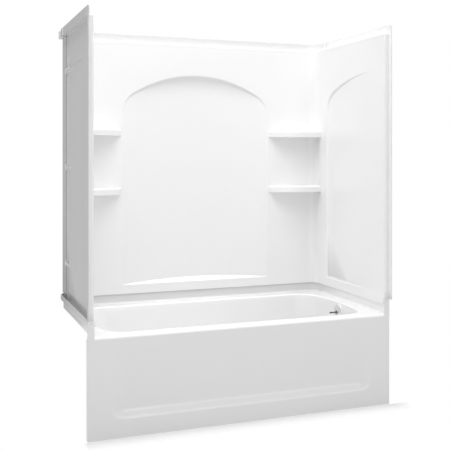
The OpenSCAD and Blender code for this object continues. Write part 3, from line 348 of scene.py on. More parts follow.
# Arched recesses
class Arch:
    """Round-shouldered arch on a wall: (u, z) outline, signed distance and depth of the recess."""

    def __init__(self, half_w, top, r, shoulder, middle, crease, depth_at, sill_slope):
        self.hw, self.r, self.shoulder = half_w, r, shoulder
        self.mid = middle
        self.crease = crease
        self.depth_at, self.sill_slope = depth_at, sill_slope
        self.cx = half_w - shoulder
        self.crown_z = top - r
        self.cz = self.crown_z + math.sqrt((r - shoulder) ** 2 - self.cx ** 2)

    def distance(self, u, z):
        """Signed distance outwards from the arch, without its sill."""
        a = np.abs(u - self.mid)
        side = a - self.hw
        shoulder = np.hypot(a - self.cx, z - self.cz) - self.shoulder
        crown = np.hypot(a, z - self.crown_z) - self.r
        in_crown = a * (self.cz - self.crown_z) < self.cx * (z - self.crown_z)
        return np.where(z < self.cz, side, np.where(in_crown, crown, shoulder))

    def depth(self, u, z):
        """Depth behind the wall's face: a soft step at the outline, then a long swell, and a sloped sill."""
        full = self.depth_at(u)
        crease = self.crease[0] + self.crease[1] * full
        dist = self.distance(u, z)
        step = 0.75 * smooth(0.35 - dist / crease) + 0.25 * smooth(-dist / 70)
        sill = self.sill_slope * (z - SILL_Z)
        return np.maximum(soft_min(full * step, sill, 3.0), 0) * smooth((z - SILL_Z + 3) / 6)

    def half_outline(self, sign):
        """Points and outward offsets from the sill up one side to the crown's top."""
        points = []
        for i in range(SIDE_STEPS + 1):
            t = i / SIDE_STEPS
            points.append((self.hw, SILL_Z + (self.cz - SILL_Z) * t, 1.0, t - 1.0))
        end = math.degrees(math.atan2(self.cz - self.crown_z, self.cx))
        for c, s in arc(SHOULDER_STEPS, 0, end)[1:]:
            points.append((self.cx + self.shoulder * c, self.cz + self.shoulder * s, c, s))
        for c, s in arc(CROWN_STEPS, end, 90 - end)[1:]:
            points.append((self.r * c, self.crown_z + self.r * s, c, s))
        return [(self.mid + sign * u, z, sign * nu, nz) for u, z, nu, nz in points]


# How far out of the outline each loop of an arch lies: close together where the crease is
LOOP_OFFSETS = (
    [20, 14, 10, 8, 6.5, 5, 4, 3, 2, 1, 0, -1, -2, -3, -4, -5, -6.5, -8]
    + list(range(-10, -28, -2)) + [-29, -33, -40]
)


def arch_patch(shell, arch, outline, corner_index, window, place, inward):
    """Lays loops along the arch's outline, out to the window and in to the middle."""
    base = np.array([(u, z) for u, z, _, _ in outline])
    offset = np.array([(a, b) for _, _, a, b in outline])
    u0, u1, z0, z1 = window
    n = len(base)
    ring = np.zeros((n, 2))
    corners = [np.array(c) for c in ((u1, z0), (u1, z1), (u0, z1), (u0, z0), (u1, z0))]
    marks = [*corner_index, corner_index[0] + n]
    for k in range(4):
        span = np.arange(marks[k], marks[k + 1] + 1) % n
        steps = np.linalg.norm(np.diff(base[span], axis=0), axis=1)
        share = np.concatenate([[0], np.cumsum(steps)]) / steps.sum()
        ring[span] = corners[k] + (corners[k + 1] - corners[k]) * share[:, None]
    loops = [ring] + [base + offset * out for out in LOOP_OFFSETS]
    last = loops[-1]
    middle = np.array([(last[:, 0].min() + last[:, 0].max()) / 2, PATCH_MIDDLE_Z])
    loops += [middle + (last - middle) * (1 - i / MIDDLE_STEPS) for i in range(1, MIDDLE_STEPS + 1)]
    u, z = np.moveaxis(np.array(loops), -1, 0)
    h = 0.6
    du = (arch.depth(u + h, z) - arch.depth(u - h, z)) / (2 * h)
    dz = (arch.depth(u, z + h) - arch.depth(u, z - h)) / (2 * h)
    shell.grid(place(u, z, arch.depth(u, z)), inward(du, dz), wrap=True)


# Walls
def rounded_edge():
    """Top edge of a wall as (outward distance, height, normal)."""
    return [(EDGE_R * (1 - c), TOP_LEDGE - EDGE_R * (1 - s), c, s) for c, s in arc(8)]


def panel_profile(breaks):
    """Foot, panel and rounded top edge as (outward distance, height, normal)."""
    rows = [(FOOT_REACH, WALL_FOOT, 0, -1)]
    rows += [(FOOT_R * (1 - s), WALL_FOOT + FOOT_R * (1 - c), s, -c) for c, s in arc(3)]
    return rows + [(0, z, 1, 0) for z in breaks] + rounded_edge()


def flange_profile():
    """Ledge and nailing flange that follow the panel."""
    reach = INSET - FLANGE_T
    r = FLANGE_FILLET
    return [(reach - r * (1 - s), TOP_LEDGE + r * (1 - c), s, c) for c, s in arc(4)] + [(reach, TOP, 1, 0)]


def back_panel(shell, straight):
    """Panel with its corners, ledge and flange, open for the arch and behind the shelves."""
    hollows = [(top - SHELF_LIP + 4, top - 4) for top in SHELF_TOPS]
    breaks = sorted({PATCH_LOW, PATCH_HIGH, *[z for pair in hollows for z in pair]})
    half = [(END_X, SEAM_Y, -1, 0), (END_X, BACK_Y - CORNER_R, -1, 0)]
    half += [(straight + CORNER_R * c, BACK_Y - CORNER_R * (1 - s), -c, -s) for c, s in arc(12)[1:]]
    middle = [(x, BACK_Y, 0, -1) for x in (HOLLOW_X, PATCH_X, -PATCH_X, -HOLLOW_X)]

    def skip(c):
        x, y, z = abs(c[0]), c[1], c[2]
        if y < BACK_Y - 1 or z < WALL_FOOT + 3 or z > TOP_LEDGE - EDGE_R - 1:
            return False
        if x < PATCH_X and PATCH_LOW < z < PATCH_HIGH:
            return True
        return HOLLOW_X < x < straight and any(a < z < b for a, b in hollows)

    shell.sweep(half + middle + other_side(half), panel_profile(breaks) + flange_profile(), skip)


def back_arch(shell):
    """Recess whose depth runs out to the sides."""
    arch = Arch(
        ARCH_HW, ARCH_TOP, ARCH_R, SHOULDER_R, 0.0, (6.0, 0.9),
        lambda u: ARCH_DEPTH * np.clip(1 - (u / (ARCH_HW + 12)) ** 2, 0, 1), 1.0,
    )
    right, left = arch.half_outline(1), arch.half_outline(-1)
    bottom = [(ARCH_HW * (i / 20 - 1), SILL_Z, i / 20 - 1, -1.0) for i in range(1, 40)]
    corner, around = SIDE_STEPS + SHOULDER_STEPS // 2, 2 * len(right) - 2
    arch_patch(
        shell, arch, right + left[-2::-1] + bottom, (0, corner, around - corner, around),
        (-PATCH_X, PATCH_X, PATCH_LOW, PATCH_HIGH),
        lambda u, z, d: np.stack([u, BACK_Y + d, z], -1),
        lambda du, dz: np.stack([du, -np.ones_like(du), dz], -1),
    )


def back_wall():
    """Panel with arch and shelves, laps behind the end walls, legs to the rear studs."""
    shell = Shell(WALL_T)
    straight = END_X - CORNER_R
    back_panel(shell, straight)
    back_arch(shell)
    shells = [shell]
    for top in SHELF_TOPS:
        one = shelf(top)
        shells += [one, one.mirrored()]
    foot, head = WALL_FOOT + 5, TOP_LEDGE - EDGE_R - 1
    under = TOP_LEDGE - WALL_T
    laps = (LAP_X - WALL_T, LAP_X, SEAM_Y - LAP, SEAM_Y + 2, foot, head, 1.0)
    fills = (END_X + 3.5, LAP_X - 1, SEAM_Y + 0.3, SEAM_Y + 12, foot, head, 0.5)
    legs = (LAP_X - WALL_T, LAP_X, SEAM_Y + 1.5, REAR_Y, TILE_TOP + 2, TOP_LEDGE - 1, 0.8)
    ledge_corners = (END_X, LAP_X, BACK_Y, REAR_Y - 0.5, under, TOP_LEDGE - 0.1, 0.5)
    flange_corners = (straight, HALF_W, REAR_Y - FLANGE_T, REAR_Y, under, TOP, 0.8)
    for sizes in (laps, fills, legs, ledge_corners, flange_corners):
        right = box_shell(*sizes)
        shells += [right.mirrored(), right]
    return shells


def shelf(top):
    """A hollow corner shelf: rounded front edge, straight run and curved end."""
    shell = Shell(SHELF_T)
    foot = top - SHELF_LIP
    r, edge = SHELF_FOOT_R, SHELF_TOP_R
    rows = [(r * (1 - s), foot + r * (1 - c), s, -c) for c, s in arc(5)]
    rows += [(edge * (1 - c), top - edge * (1 - s), c, s) for c, s in arc(8)]
    p, n = [], []
    for inset, z, pn, pz in rows:
        line = [(x, SHELF_Y + inset, z) for x in (END_X + 2, SHELF_RUN_END)]
        line_n = [(0, -pn, pz)] * 2
        reach = SHELF_ARC_R - inset
        end = math.degrees(math.acos((SHELF_ARC_Y - BACK_Y - 2) / reach))
        for c, s in arc(28, 0, end):
            line.append((SHELF_ARC_X - reach * s, SHELF_ARC_Y - reach * c, z))
            line_n.append((-pn * s, -pn * c, pz))
        p.append(line)
        n.append(line_n)
    shell.grid(p, n)
    in_wall = CORNER_R + 2
    corner = [(END_X - CORNER_R + in_wall * s, BACK_Y - CORNER_R + in_wall * c) for c, s in arc(8)]
    for line, z, up in ((p[-1], top, 1), (p[0], foot, -1)):
        shell.polygon([[q[:2] for q in line] + corner], np.array([0, 0, up]), lambda a, b, z=z: (a, b, z))
    return shell


def flange_plate():
    """Nailing flange up the front and along the top of the right end wall, with its nail holes."""
    shell = Shell(FLANGE_T)
    low, y_in, y_end, under = TILE_TOP + 2, APRON_Y + NOSE_R, SEAM_Y - 12, TOP_LEDGE - WALL_T
    r = FLANGE_CORNER
    outline = [(FRONT_Y, low), (y_in, low), (y_in, under), (y_end, under), (y_end, TOP), (FRONT_Y + r, TOP)]
    outline += [(FRONT_Y + r + r * c, TOP - r + r * s) for c, s in arc(6, 90)]
    holes = [circle(FRONT_Y + NAIL_IN, z, NAIL_R) for z in NAIL_HEIGHTS]
    shell.polygon([outline] + holes, np.array([-1.0, 0, 0]), lambda a, b: (HALF_W - FLANGE_T, a, b))
    return shell


def half_arch(shell):
    """Recess that deepens towards the rear and runs out at the front."""
    run = HALF_REAR - HALF_FRONT

    def depth_at(u):
        swell = np.clip((u - HALF_FRONT) / run, 0, 1) ** 1.2
        return HALF_DEPTH * swell * smooth(0.45 + (HALF_REAR - u) / 110)

    arch = Arch(
        HALF_ARCH_W, HALF_TOP, HALF_R, HALF_SHOULDER, HALF_REAR - HALF_ARCH_W, (7.0, 0.9),
        depth_at, HALF_DEPTH / HALF_SILL_H,
    )
    outline = arch.half_outline(1)
    crown = SIDE_STEPS + SHOULDER_STEPS
    for i in range(1, CROWN_STEPS + 1):
        u, z, nu, nz = outline[crown + i]
        outline[crown + i] = (u, z, nu - 0.97 * (i / CROWN_STEPS) ** 1.5, nz)
    top = len(outline)
    drop = SILL_Z - HALF_TOP
    outline.append((HALF_FRONT, HALF_TOP, -1.0, 1.0))
    outline += [(HALF_FRONT, HALF_TOP + drop * i / 36, -1.0, 1 - i / 18) for i in range(1, 36)]
    outline += [(HALF_FRONT + run * i / 30, SILL_Z, i / 15 - 1, -1.0) for i in range(30)]
    arch_patch(
        shell, arch, outline, (0, SIDE_STEPS + SHOULDER_STEPS // 2, top, top + 36),
        (PATCH_FRONT, PATCH_REAR, PATCH_LOW, PATCH_HIGH),
        lambda u, z, d: np.stack([END_X + d, u, z], -1),
        lambda du, dz: np.stack([-np.ones_like(du), du, dz], -1),
    )


def end_wall():
    """Right end wall: panel with half arch, nose and web, ledge, flange, and stiffening outside."""
    shell = Shell(WALL_T)
    rear, flange_x = SEAM_Y - 0.6, HALF_W - FLANGE_T
    path = [(END_X, y, -1, 0) for y in (rear, PATCH_REAR, PATCH_FRONT, APRON_Y + NOSE_R)]

    def skip(c):
        return PATCH_FRONT < c[1] < PATCH_REAR and PATCH_LOW < c[2] < PATCH_HIGH

    shell.sweep(path, panel_profile([PATCH_LOW, PATCH_HIGH]), skip)
    nose = [(END_X + NOSE_R * (1 - c), APRON_Y + NOSE_R * (1 - s), -c, -s) for c, s in arc(12)]
    nose.append((flange_x, APRON_Y, 0, -1))
    shell.sweep(nose, [(0, TILE_TOP + 2, 1, 0)] + rounded_edge())
    inner = [(x - nx * EDGE_R, y - ny * EDGE_R) for x, y, nx, ny in nose]
    ledge = [(END_X + EDGE_R, rear)] + inner + [(flange_x, rear)]
    shell.polygon([ledge], np.array([0, 0, 1.0]), lambda a, b: (a, b, TOP_LEDGE))
    half_arch(shell)
    # Outside: a bead before the lap, and a stiffened field as far as the recess leaves it room
    skin = END_X + WALL_T - 0.5
    bead = box_shell(skin, LAP_X, SEAM_Y - LAP - 14, SEAM_Y - LAP - 6, WALL_FOOT + 1, TOP_LEDGE - 2, 1.2)
    out, high_front = skin + PAD_T, PAD_MEET_Y - PAD_OVERLAP
    front_pad = box_shell(skin, out, APRON_Y + 18, PAD_MEET_Y, LEDGE_Z + 82, TOP_LEDGE - 30, 1.5)
    high_pad = box_shell(skin, out, high_front, PAD_REAR_Y, HALF_TOP + 15, TOP_LEDGE - 30, 1.5)
    return [shell, flange_plate(), bead, front_pad, high_pad]


# Bath
def plan_ring(x0, x1, half_d, r):
    """Ring round the basin: straight sides, round corners, bowed ends."""
    points = []
    corners = ((x1 - r, -1), (x1 - r, 1), (x0 + r, 1), (x0 + r, -1))
    for k, (cx, side) in enumerate(corners):
        cy = BASIN_Y + side * (half_d - r)
        points += [(cx + r * c, cy + r * s) for c, s in arc(ARC_STEPS, 90 * k - 90)]
        last = np.array(points[-1])
        next_x, next_side = corners[(k + 1) % 4]
        c, s = math.cos(math.radians(90 * k)), math.sin(math.radians(90 * k))
        target = np.array([next_x + r * c, BASIN_Y + next_side * (half_d - r) + r * s])
        steps = LONG_STEPS if k % 2 else END_STEPS
        points += [tuple(last + (target - last) * i / steps) for i in range(1, steps)]
    q = np.array(points)
    mid = (x0 + x1) / 2
    bow = END_BOW * ((q[:, 1] - BASIN_Y) / half_d) ** 2
    q[:, 0] -= np.clip((q[:, 0] - mid) / (x1 - r - mid), -1, 1) * bow
    return q


def floor_fall(x):
    return FLOOR_FALL * (DRAIN_X + 60 - x) / (BASIN_X + DRAIN_X)


def basin_ring(out, share, z, r):
    """Ring at a share of the basin's depth, moved outwards by out."""
    x0, x1 = -BASIN_X - out + BACKREST_LEAN * share, BASIN_X + out - DRAIN_LEAN * share
    q = plan_ring(x0, x1, BASIN_HALF_D + out - SIDE_LEAN * share, max(r + out, SMALLEST_CORNER))
    drop = max(0, share - 0.7) / 0.3
    return np.column_stack([q, z + drop * floor_fall(q[:, 0])])


def basin_rings():
    """Rings over the rolled lip, down the walls, round the cove, along the floor, into the drain's seat."""
    low, lip_foot, depth = FLOOR_Z + COVE_R, RIM_H - LIP_R, RIM_H - FLOOR_Z
    rings = [basin_ring(LIP_R * (1 - s), 0, RIM_H - LIP_R * (1 - c), LIP_CORNER) for c, s in arc(10)]
    for k in range(1, 28):
        z = lip_foot - (lip_foot - low) * k / 28
        share = (RIM_H - z) / depth
        rings.append(basin_ring(0, share, z, LIP_CORNER + (FLOOR_CORNER - LIP_CORNER) * share))
    start = (RIM_H - low) / depth
    for c, s in arc(12):
        rings.append(basin_ring(-COVE_R * (1 - c), start + (1 - start) * s, low - COVE_R * s, FLOOR_CORNER))
    last = rings[-1][:, :2]
    drain = np.array([DRAIN_X, BASIN_Y])
    away = unit(last - drain)
    for i in range(1, 23):
        t = 1 - (1 - i / 22) ** 1.15
        q = last * (1 - t) + (drain + away * DRAIN_R) * t
        rings.append(np.column_stack([q, FLOOR_Z + floor_fall(q[:, 0])]))
    seat = FLOOR_Z - 1.5
    steps = (
        (39, FLOOR_Z + 0.3), (37.6, seat + 0.8), (37, seat),
        (25.5, seat), (25, seat - 0.5), (25, seat - 10),
    )
    for r, z in steps:
        rings.append(np.column_stack([drain + away * r, np.full(len(away), z)]))
    return np.array(rings)


def basin(shell):
    """Basin with the opening for its overflow; gives back its lip."""
    p = basin_rings()
    around = np.concatenate([p[:, -1:], p, p[:, :1]], 1)
    n = unit(np.cross(np.gradient(around, axis=1)[:, 1:-1], np.gradient(p, axis=0)))
    if n[-8:-6, :, 2].mean() < 0:
        n = -n
    n[0] = n[-3] = (0, 0, 1)

    def skip(c):
        return c[0] > DRAIN_X and math.hypot(c[1] - BASIN_Y, c[2] - OVERFLOW_Z) < OVERFLOW_HOLE_R

    shell.grid(p, n, wrap=True, skip=skip)
    return [tuple(q[:2]) for q in p[0]]


def flat_band(shell, inner, outer, z):
    """Level band of triangles between two runs of points that turn the same way."""
    share = []
    for run in (inner, outer):
        steps = np.hypot(*np.diff(np.array(run), axis=0).T)
        share.append(np.concatenate([[0], np.cumsum(steps)]) / steps.sum())
    i = j = 0
    n = len(inner)
    faces = []
    while i < n - 1 or j < len(outer) - 1:
        if j == len(outer) - 1 or (i < n - 1 and share[0][i + 1] < share[1][j + 1]):
            faces.append([i, n + j, i + 1])
            i += 1
        else:
            faces.append([i, n + j, n + j + 1])
            j += 1
    points = [(x, y, z) for x, y in inner + outer]
    shell.add(points, [(0, 0, 1)] * len(points), faces)


def deck(shell, lip, xs):
    """Flat deck between the basin's lip and the upstand's fillet."""
    edge, rear_y, rim_y = UP_X - FILLET_R, UP_Y - FILLET_R, APRON_Y + RIM_R
    cx, cy, r = UP_X - UP_R, UP_Y - UP_R, UP_R - FILLET_R
    turn = [(cx + r * c, cy + r * s) for c, s in arc(12)]
    half_turn = len(turn) // 2
    right = [(edge, y) for y in np.linspace(rim_y, cy, 40)] + turn[1:half_turn + 1]
    left = [(-x, y) for x, y in right[::-1]]
    rear = turn[half_turn:] + [(x, rear_y) for x in np.linspace(660, -660, 50)]
    rear += [(-x, y) for x, y in turn[:half_turn - 1:-1]]
    front = [(x, rim_y) for x in xs]
    ends, sides = ARC_STEPS + END_STEPS, ARC_STEPS + LONG_STEPS
    marks = np.cumsum([ARC_STEPS // 2, ends, sides, ends, sides])
    for outer, a, b in zip((right, rear, left, front), marks, marks[1:]):
        flat_band(shell, [lip[i % len(lip)] for i in range(a, b + 1)], outer, RIM_H)


def front_rim(shell, xs):
    """Rolled edge along the front, out to the bath's ends."""
    rows = [[(x, APRON_Y + RIM_R * (1 - s), RIM_H - RIM_R * (1 - c)) for x in xs] for c, s in arc(10)]
    shell.grid(rows, [[(0, -s, c)] * len(xs) for c, s in arc(10)])


def field_depth(x, z):
    """Depth of the apron's sunk field: a bevel with a soft line at both edges, on a bed that tapers out."""
    half_w = FIELD_HW + FIELD_TAPER * (z - FIELD_LOW) / (FIELD_TOP - FIELD_LOW)
    qx, qz = np.abs(x) - (half_w - FIELD_R), FOOT_STEEPNESS * (FIELD_FOOT - z) + FIELD_R
    in_corner = np.hypot(np.maximum(qx, 0), np.maximum(qz, 0))
    dist = np.where((qx > 0) & (qz > 0), in_corner, np.maximum(qx, qz)) - FIELD_R
    bevel = soft_min(soft_slope(-dist / 2) * 2 / FIELD_BEVEL, np.ones_like(x), 0.08)
    edges = soft_drop((dist + OUTER_LINE) / 3) + soft_drop((dist + INNER_LINE) / 4)
    bed = FIELD_DEPTH * soft_slope((FIELD_TOP - z) / 10) * 10 / (FIELD_TOP - FIELD_DEEP_Z)
    return soft_min(bed, FIELD_DEPTH * np.ones_like(bed), 1.0) * np.clip(0.56 * bevel + 0.22 * edges, 0, 1)


def apron(shell, xs):
    """Apron with its sunk field, end returns and foot turned under."""
    r, near, far = RETURN_R, APRON_Y + RETURN_R, APRON_Y + RETURN_D
    returns = [(HALF_W - 0.3 * r, APRON_Y + 0.3 * r, 0.7, -0.7), (HALF_W, near, 1, 0), (HALF_W, far, 1, 0)]
    face = [(x, APRON_Y, 0, -1) for x in (-HALF_W + r, *xs[1:-1], HALF_W - r)]
    px, py, nx, ny = np.array(other_side(returns) + face + returns).T
    # Rows from the rim down, close together on the field's lower bevel
    zs = np.concatenate([np.arange(440, 134, -8.0), np.arange(132, 58, -3.0), np.arange(56, 3, -9.0), [2.0]])
    x, z = np.meshgrid(px, zs)
    front = np.tile((ny < -0.99).astype(float), (len(zs), 1))
    d = field_depth(x, z) * front
    dx = (field_depth(x + 1, z) - field_depth(x - 1, z)) / 2 * front
    dz = (field_depth(x, z + 1) - field_depth(x, z - 1)) / 2 * front
    p = [np.stack([x, py + d, z], -1)]
    n = [np.stack([nx + dx, ny + 0 * dx, dz], -1)]
    for dist, height, pn, pz in ((0.3 * r, 0.3 * r, 0.7, -0.7), (r, 0, 0, -1)):
        p.append(np.stack([px - nx * dist, py - ny * dist, np.full_like(px, height)], -1)[None])
        n.append(np.stack([nx * pn, ny * pn, np.full_like(px, pz)], -1)[None])
    shell.grid(np.concatenate(p), np.concatenate(n))
    foot = [(-HALF_W + r, near), (HALF_W - r, near), (HALF_W - r, far), (-HALF_W + r, far)]
    shell.polygon([foot], np.array([0, 0, -1.0]), lambda a, b: (a, b, 0.0))


def upstand():
    """Fillet, upstand, ledge and tile flange round three sides of the deck."""
    shell = Shell(FLANGE_T)
    half = [(UP_X, APRON_Y + y, -1, 0) for y in (5, 8, 11, RIM_R)]
    half += [(UP_X - UP_R * (1 - c), UP_Y - UP_R * (1 - s), -c, -s) for c, s in arc(12)]
    track = half + other_side(half)
    fillet = [(-FILLET_R * (1 - s), RIM_H + FILLET_R * (1 - c), s, c) for c, s in arc(6)]
    profile = fillet + [(LEDGE_R * (1 - c), LEDGE_Z - LEDGE_R * (1 - s), c, s) for c, s in arc(4)]
    profile += [(TILE_STEP + TILE_R * s, LEDGE_Z + TILE_R * (1 - c), s, c) for c, s in arc(4)]
    profile.append((TILE_STEP + TILE_R, TILE_TOP, 1, 0))
    shell.sweep(track, profile)
    # Its front ends follow the rolled rim down
    folded = shell.points[0].reshape(len(profile), len(track), 3)
    for c, (_, y, _, _) in enumerate(track):
        if y < APRON_Y + RIM_R - 0.1:
            drop = RIM_R - math.sqrt(RIM_R ** 2 - (APRON_Y + RIM_R - y) ** 2)
            for r in range(len(fillet)):
                folded[r, c, 2] -= drop * (1 - r / (len(fillet) - 1))
    return shell


def ear():
    """Ear at the right end of the rim, with a nail hole."""
    shell = Shell(BATH_T)
    loop = [(EAR_X, EAR_LOW), (HALF_W, EAR_LOW)]
    for cx, start in ((HALF_W - EAR_R, 0), (EAR_X + EAR_R, 90)):
        loop += [(cx + EAR_R * c, TILE_TOP - EAR_R + EAR_R * s) for c, s in arc(6, start)]
    shell.polygon([loop, circle(*EAR_NAIL, NAIL_R)], np.array([0, -1.0, 0]), lambda a, b: (a, APRON_Y, b))
    return shell


def overflow_ring():
    """Turned ring round the overflow, from (radius, x, normal)."""
    shell = Shell(1.5)
    turned = [
        (42.6, 684, 1, 0), (42.3, 678, 1, 0.1), (41.6, 676, 0.7, -0.7), (40, 675, 0, -1),
        (31, 675, 0, -1), (30.2, 675.6, -0.7, -0.7), (30, 677, -1, 0), (30, 688, -1, 0),
    ]
    around = arc(64, turn=360)[:-1]
    p = [[(x, BASIN_Y + r * c, OVERFLOW_Z + r * s) for c, s in around] for r, x, _, _ in turned]
    n = [[(along, out * c, out * s) for c, s in around] for _, _, out, along in turned]
    shell.grid(p, n, wrap=True)
    return shell


def bathtub():
    """Basin, deck, rim and apron in one shell, with the upstand, ears and overflow ring."""
    # Columns along the front, close together on the field's side bevels
    right = np.concatenate([np.arange(580, 676, 4.0), np.arange(676, 729, 13.0), [UP_X - FILLET_R]])
    xs = np.concatenate([-right[::-1], np.linspace(-568, 568, 88), right])
    whole = [-HALF_W, -HALF_W + 13, *xs, HALF_W - 13, HALF_W]
    shell = Shell(BATH_T)
    deck(shell, basin(shell), xs)
    front_rim(shell, whole)
    apron(shell, whole)
    right_ear = ear()
    return [shell, upstand(), right_ear, right_ear.mirrored(), overflow_ring()]


# Nodes
class Sock:
    """A shader socket or a number, with arithmetic."""

    def __init__(self, tree, value):
        self.tree, self.value = tree, value

    def apply(self, operation, *more):
        return self.maths(operation, self, *more)

    def maths(self, operation, *values):
        node = add_node(self.tree, "ShaderNodeMath", dict(enumerate(values)), operation=operation)
        return Sock(self.tree, node.outputs[0])

    def __add__(self, other):
        return self.maths("ADD", self, other)

    def __radd__(self, other):
        return self.maths("ADD", other, self)

    def __sub__(self, other):
        return self.maths("SUBTRACT", self, other)

    def __rsub__(self, other):
        return self.maths("SUBTRACT", other, self)

    def __mul__(self, other):
        return self.maths("MULTIPLY", self, other)

    def __rmul__(self, other):
        return self.maths("MULTIPLY", other, self)

    def __truediv__(self, other):
        return self.maths("DIVIDE", self, other)

    def __rtruediv__(self, other):
        return self.maths("DIVIDE", other, self)

    def clamp(self):
        return self.apply("MAXIMUM", 0.0).apply("MINIMUM", 1.0)


def feed(tree, slot, value):
    """Links a socket to a slot, or gives the slot a value."""
    raw = value.value if isinstance(value, Sock) else value
    if isinstance(raw, bpy.types.NodeSocket):
        tree.links.new(raw, slot)
    else:
        slot.default_value = raw


def add_node(tree, kind, inputs=None, **settings):
    """Adds a node, makes its settings first, then feeds its inputs."""
    node = tree.nodes.new(kind)
    for key, value in settings.items():
        setattr(node, key, value)
    for key, value in (inputs or {}).items():
        for one in value if isinstance(value, list) else [value]:
            feed(tree, node.inputs[key], one)
    return node


def ramp(value, start, end):
    """0 before start, 1 past end, straight between; end may be the smaller one."""
    return ((value - start) / (end - start)).clamp()


# Ribs behind the apron
def rib_tree():
    """Geometry Nodes tree that thickens a rib's profile and repeats it along the apron."""
    tree = bpy.data.node_groups.new("apron_ribs", "GeometryNodeTree")
    for name, kind in (
        ("Profile", "Geometry"), ("Rib count", "Int"), ("Span", "Float"), ("Rib thickness", "Float"),
        ("Finish", "Material"),
    ):
        tree.interface.new_socket(name, in_out="INPUT", socket_type="NodeSocket" + kind)
    tree.interface.new_socket("Ribs", in_out="OUTPUT", socket_type="NodeSocketGeometry")

    def node(kind, inputs, **settings):
        return add_node(tree, kind, inputs, **settings).outputs

    given = node("NodeGroupInput", {})
    wall = node(
        "GeometryNodeExtrudeMesh",
        {"Mesh": given["Profile"], "Offset Scale": given["Rib thickness"], "Individual": False},
        mode="FACES",
    )
    back = node("GeometryNodeFlipFaces", {"Mesh": given["Profile"]})
    solid = node("GeometryNodeJoinGeometry", {"Geometry": [wall["Mesh"], back["Mesh"]]})
    closed = node("GeometryNodeMergeByDistance", {"Geometry": solid["Geometry"], "Distance": 1e-5})
    half = node("ShaderNodeMath", {0: given["Span"], 1: 0.5}, operation="MULTIPLY")
    start = node("ShaderNodeMath", {0: half["Value"], 1: -1.0}, operation="MULTIPLY")
    first = node("ShaderNodeCombineXYZ", {"X": start["Value"]})
    last = node("ShaderNodeCombineXYZ", {"X": half["Value"]})
    places = node(
        "GeometryNodeMeshLine",
        {"Count": given["Rib count"], "Start Location": first["Vector"], "Offset": last["Vector"]},
        mode="END_POINTS",
    )
    ribs = node("GeometryNodeInstanceOnPoints", {"Points": places["Mesh"], "Instance": closed["Geometry"]})
    real = node("GeometryNodeRealizeInstances", {"Geometry": ribs["Instances"]})
    done = node("GeometryNodeSetMaterial", {"Geometry": real["Geometry"], "Material": given["Finish"]})
    node("NodeGroupOutput", {"Ribs": done["Geometry"]})
    return tree


def apron_ribs(finish):
    """Ribs behind the apron, from the rim down to the foot and clear of the sunk field."""
    skin, rear = BATH_T - 0.4, RETURN_D
    high, low = RIM_H - 4.5, skin
    loop = [
        (skin, high), (skin + 0.2, FIELD_TOP), (BATH_T + FIELD_DEPTH - 0.1, FIELD_DEEP_Z),
        (skin, RIB_FOOT), (skin, low), (rear, low), (rear, high),
    ]
    mesh = bpy.data.meshes.new("apron_ribs")
    points = [(-BATH_T / 2 * MM, (APRON_Y + a) * MM, b * MM) for a, b in loop]
    mesh.from_pydata(points, [], [range(len(loop))])
    mesh.materials.append(finish)
    outward = mesh.polygons[0].normal[0] > 0
    obj = bpy.data.objects.new("apron_ribs", mesh)
    bpy.context.scene.collection.objects.link(obj)
    modifier = obj.modifiers.new("ribs", "NODES")
    modifier.node_group = rib_tree()
    sizes = {
        "Rib count": RIB_COUNT,
        "Span": RIB_SPAN * MM,
        "Rib thickness": BATH_T * MM if outward else -BATH_T * MM,
        "Finish": finish,
    }
    for item in modifier.node_group.interface.items_tree:
        if item.in_out == "INPUT" and item.name in sizes:
            modifier[item.identifier] = sizes[item.name]
    made = bpy.data.meshes.new_from_object(obj.evaluated_get(bpy.context.evaluated_depsgraph_get()))
    obj.modifiers.clear()
    obj.data = made
    return obj


# Materials
class Material:
    """A node material built from one Principled shader."""

    def __init__(self, name):
        self.m = bpy.data.materials.new(name)
        self.m.use_nodes = True
        self.tree = self.m.node_tree
        self.shader = self.tree.nodes["Principled BSDF"]
        self.out = self.tree.nodes["Material Output"]

    def node(self, kind, inputs=None, **settings):
        return add_node(self.tree, kind, inputs, **settings).outputs

    def value(self, output):
        return Sock(self.tree, output)

    def coordinates(self):
        return self.node("ShaderNodeTexCoord")["Object"]

    def place(self):
        """Object coordinates as three values in millimetres."""
        xyz = self.node("ShaderNodeSeparateXYZ", {"Vector": self.coordinates()})
        return [self.value(xyz[axis]) / MM for axis in "XYZ"]

    def noise(self, scale, detail):
        inputs = {"Vector": self.coordinates(), "Scale": scale, "Detail": detail, "Roughness": 0.5}
        return self.value(self.node("ShaderNodeTexNoise", inputs)["Fac"])

    def tinted(self, rgb, factor):
        """A colour scaled by a factor socket."""
        parts = {name: factor * share for name, share in zip(("Red", "Green", "Blue"), rgb)}
        return self.node("ShaderNodeCombineColor", parts)[0]

    def bump(self, height, strength, distance):
        bump = self.node("ShaderNodeBump", {"Height": height, "Strength": strength, "Distance": distance})
        self.set(Normal=bump[0])

    def set(self, **values):
        for key, value in values.items():
            feed(self.tree, self.shader.inputs[key.replace("_", " ")], value)


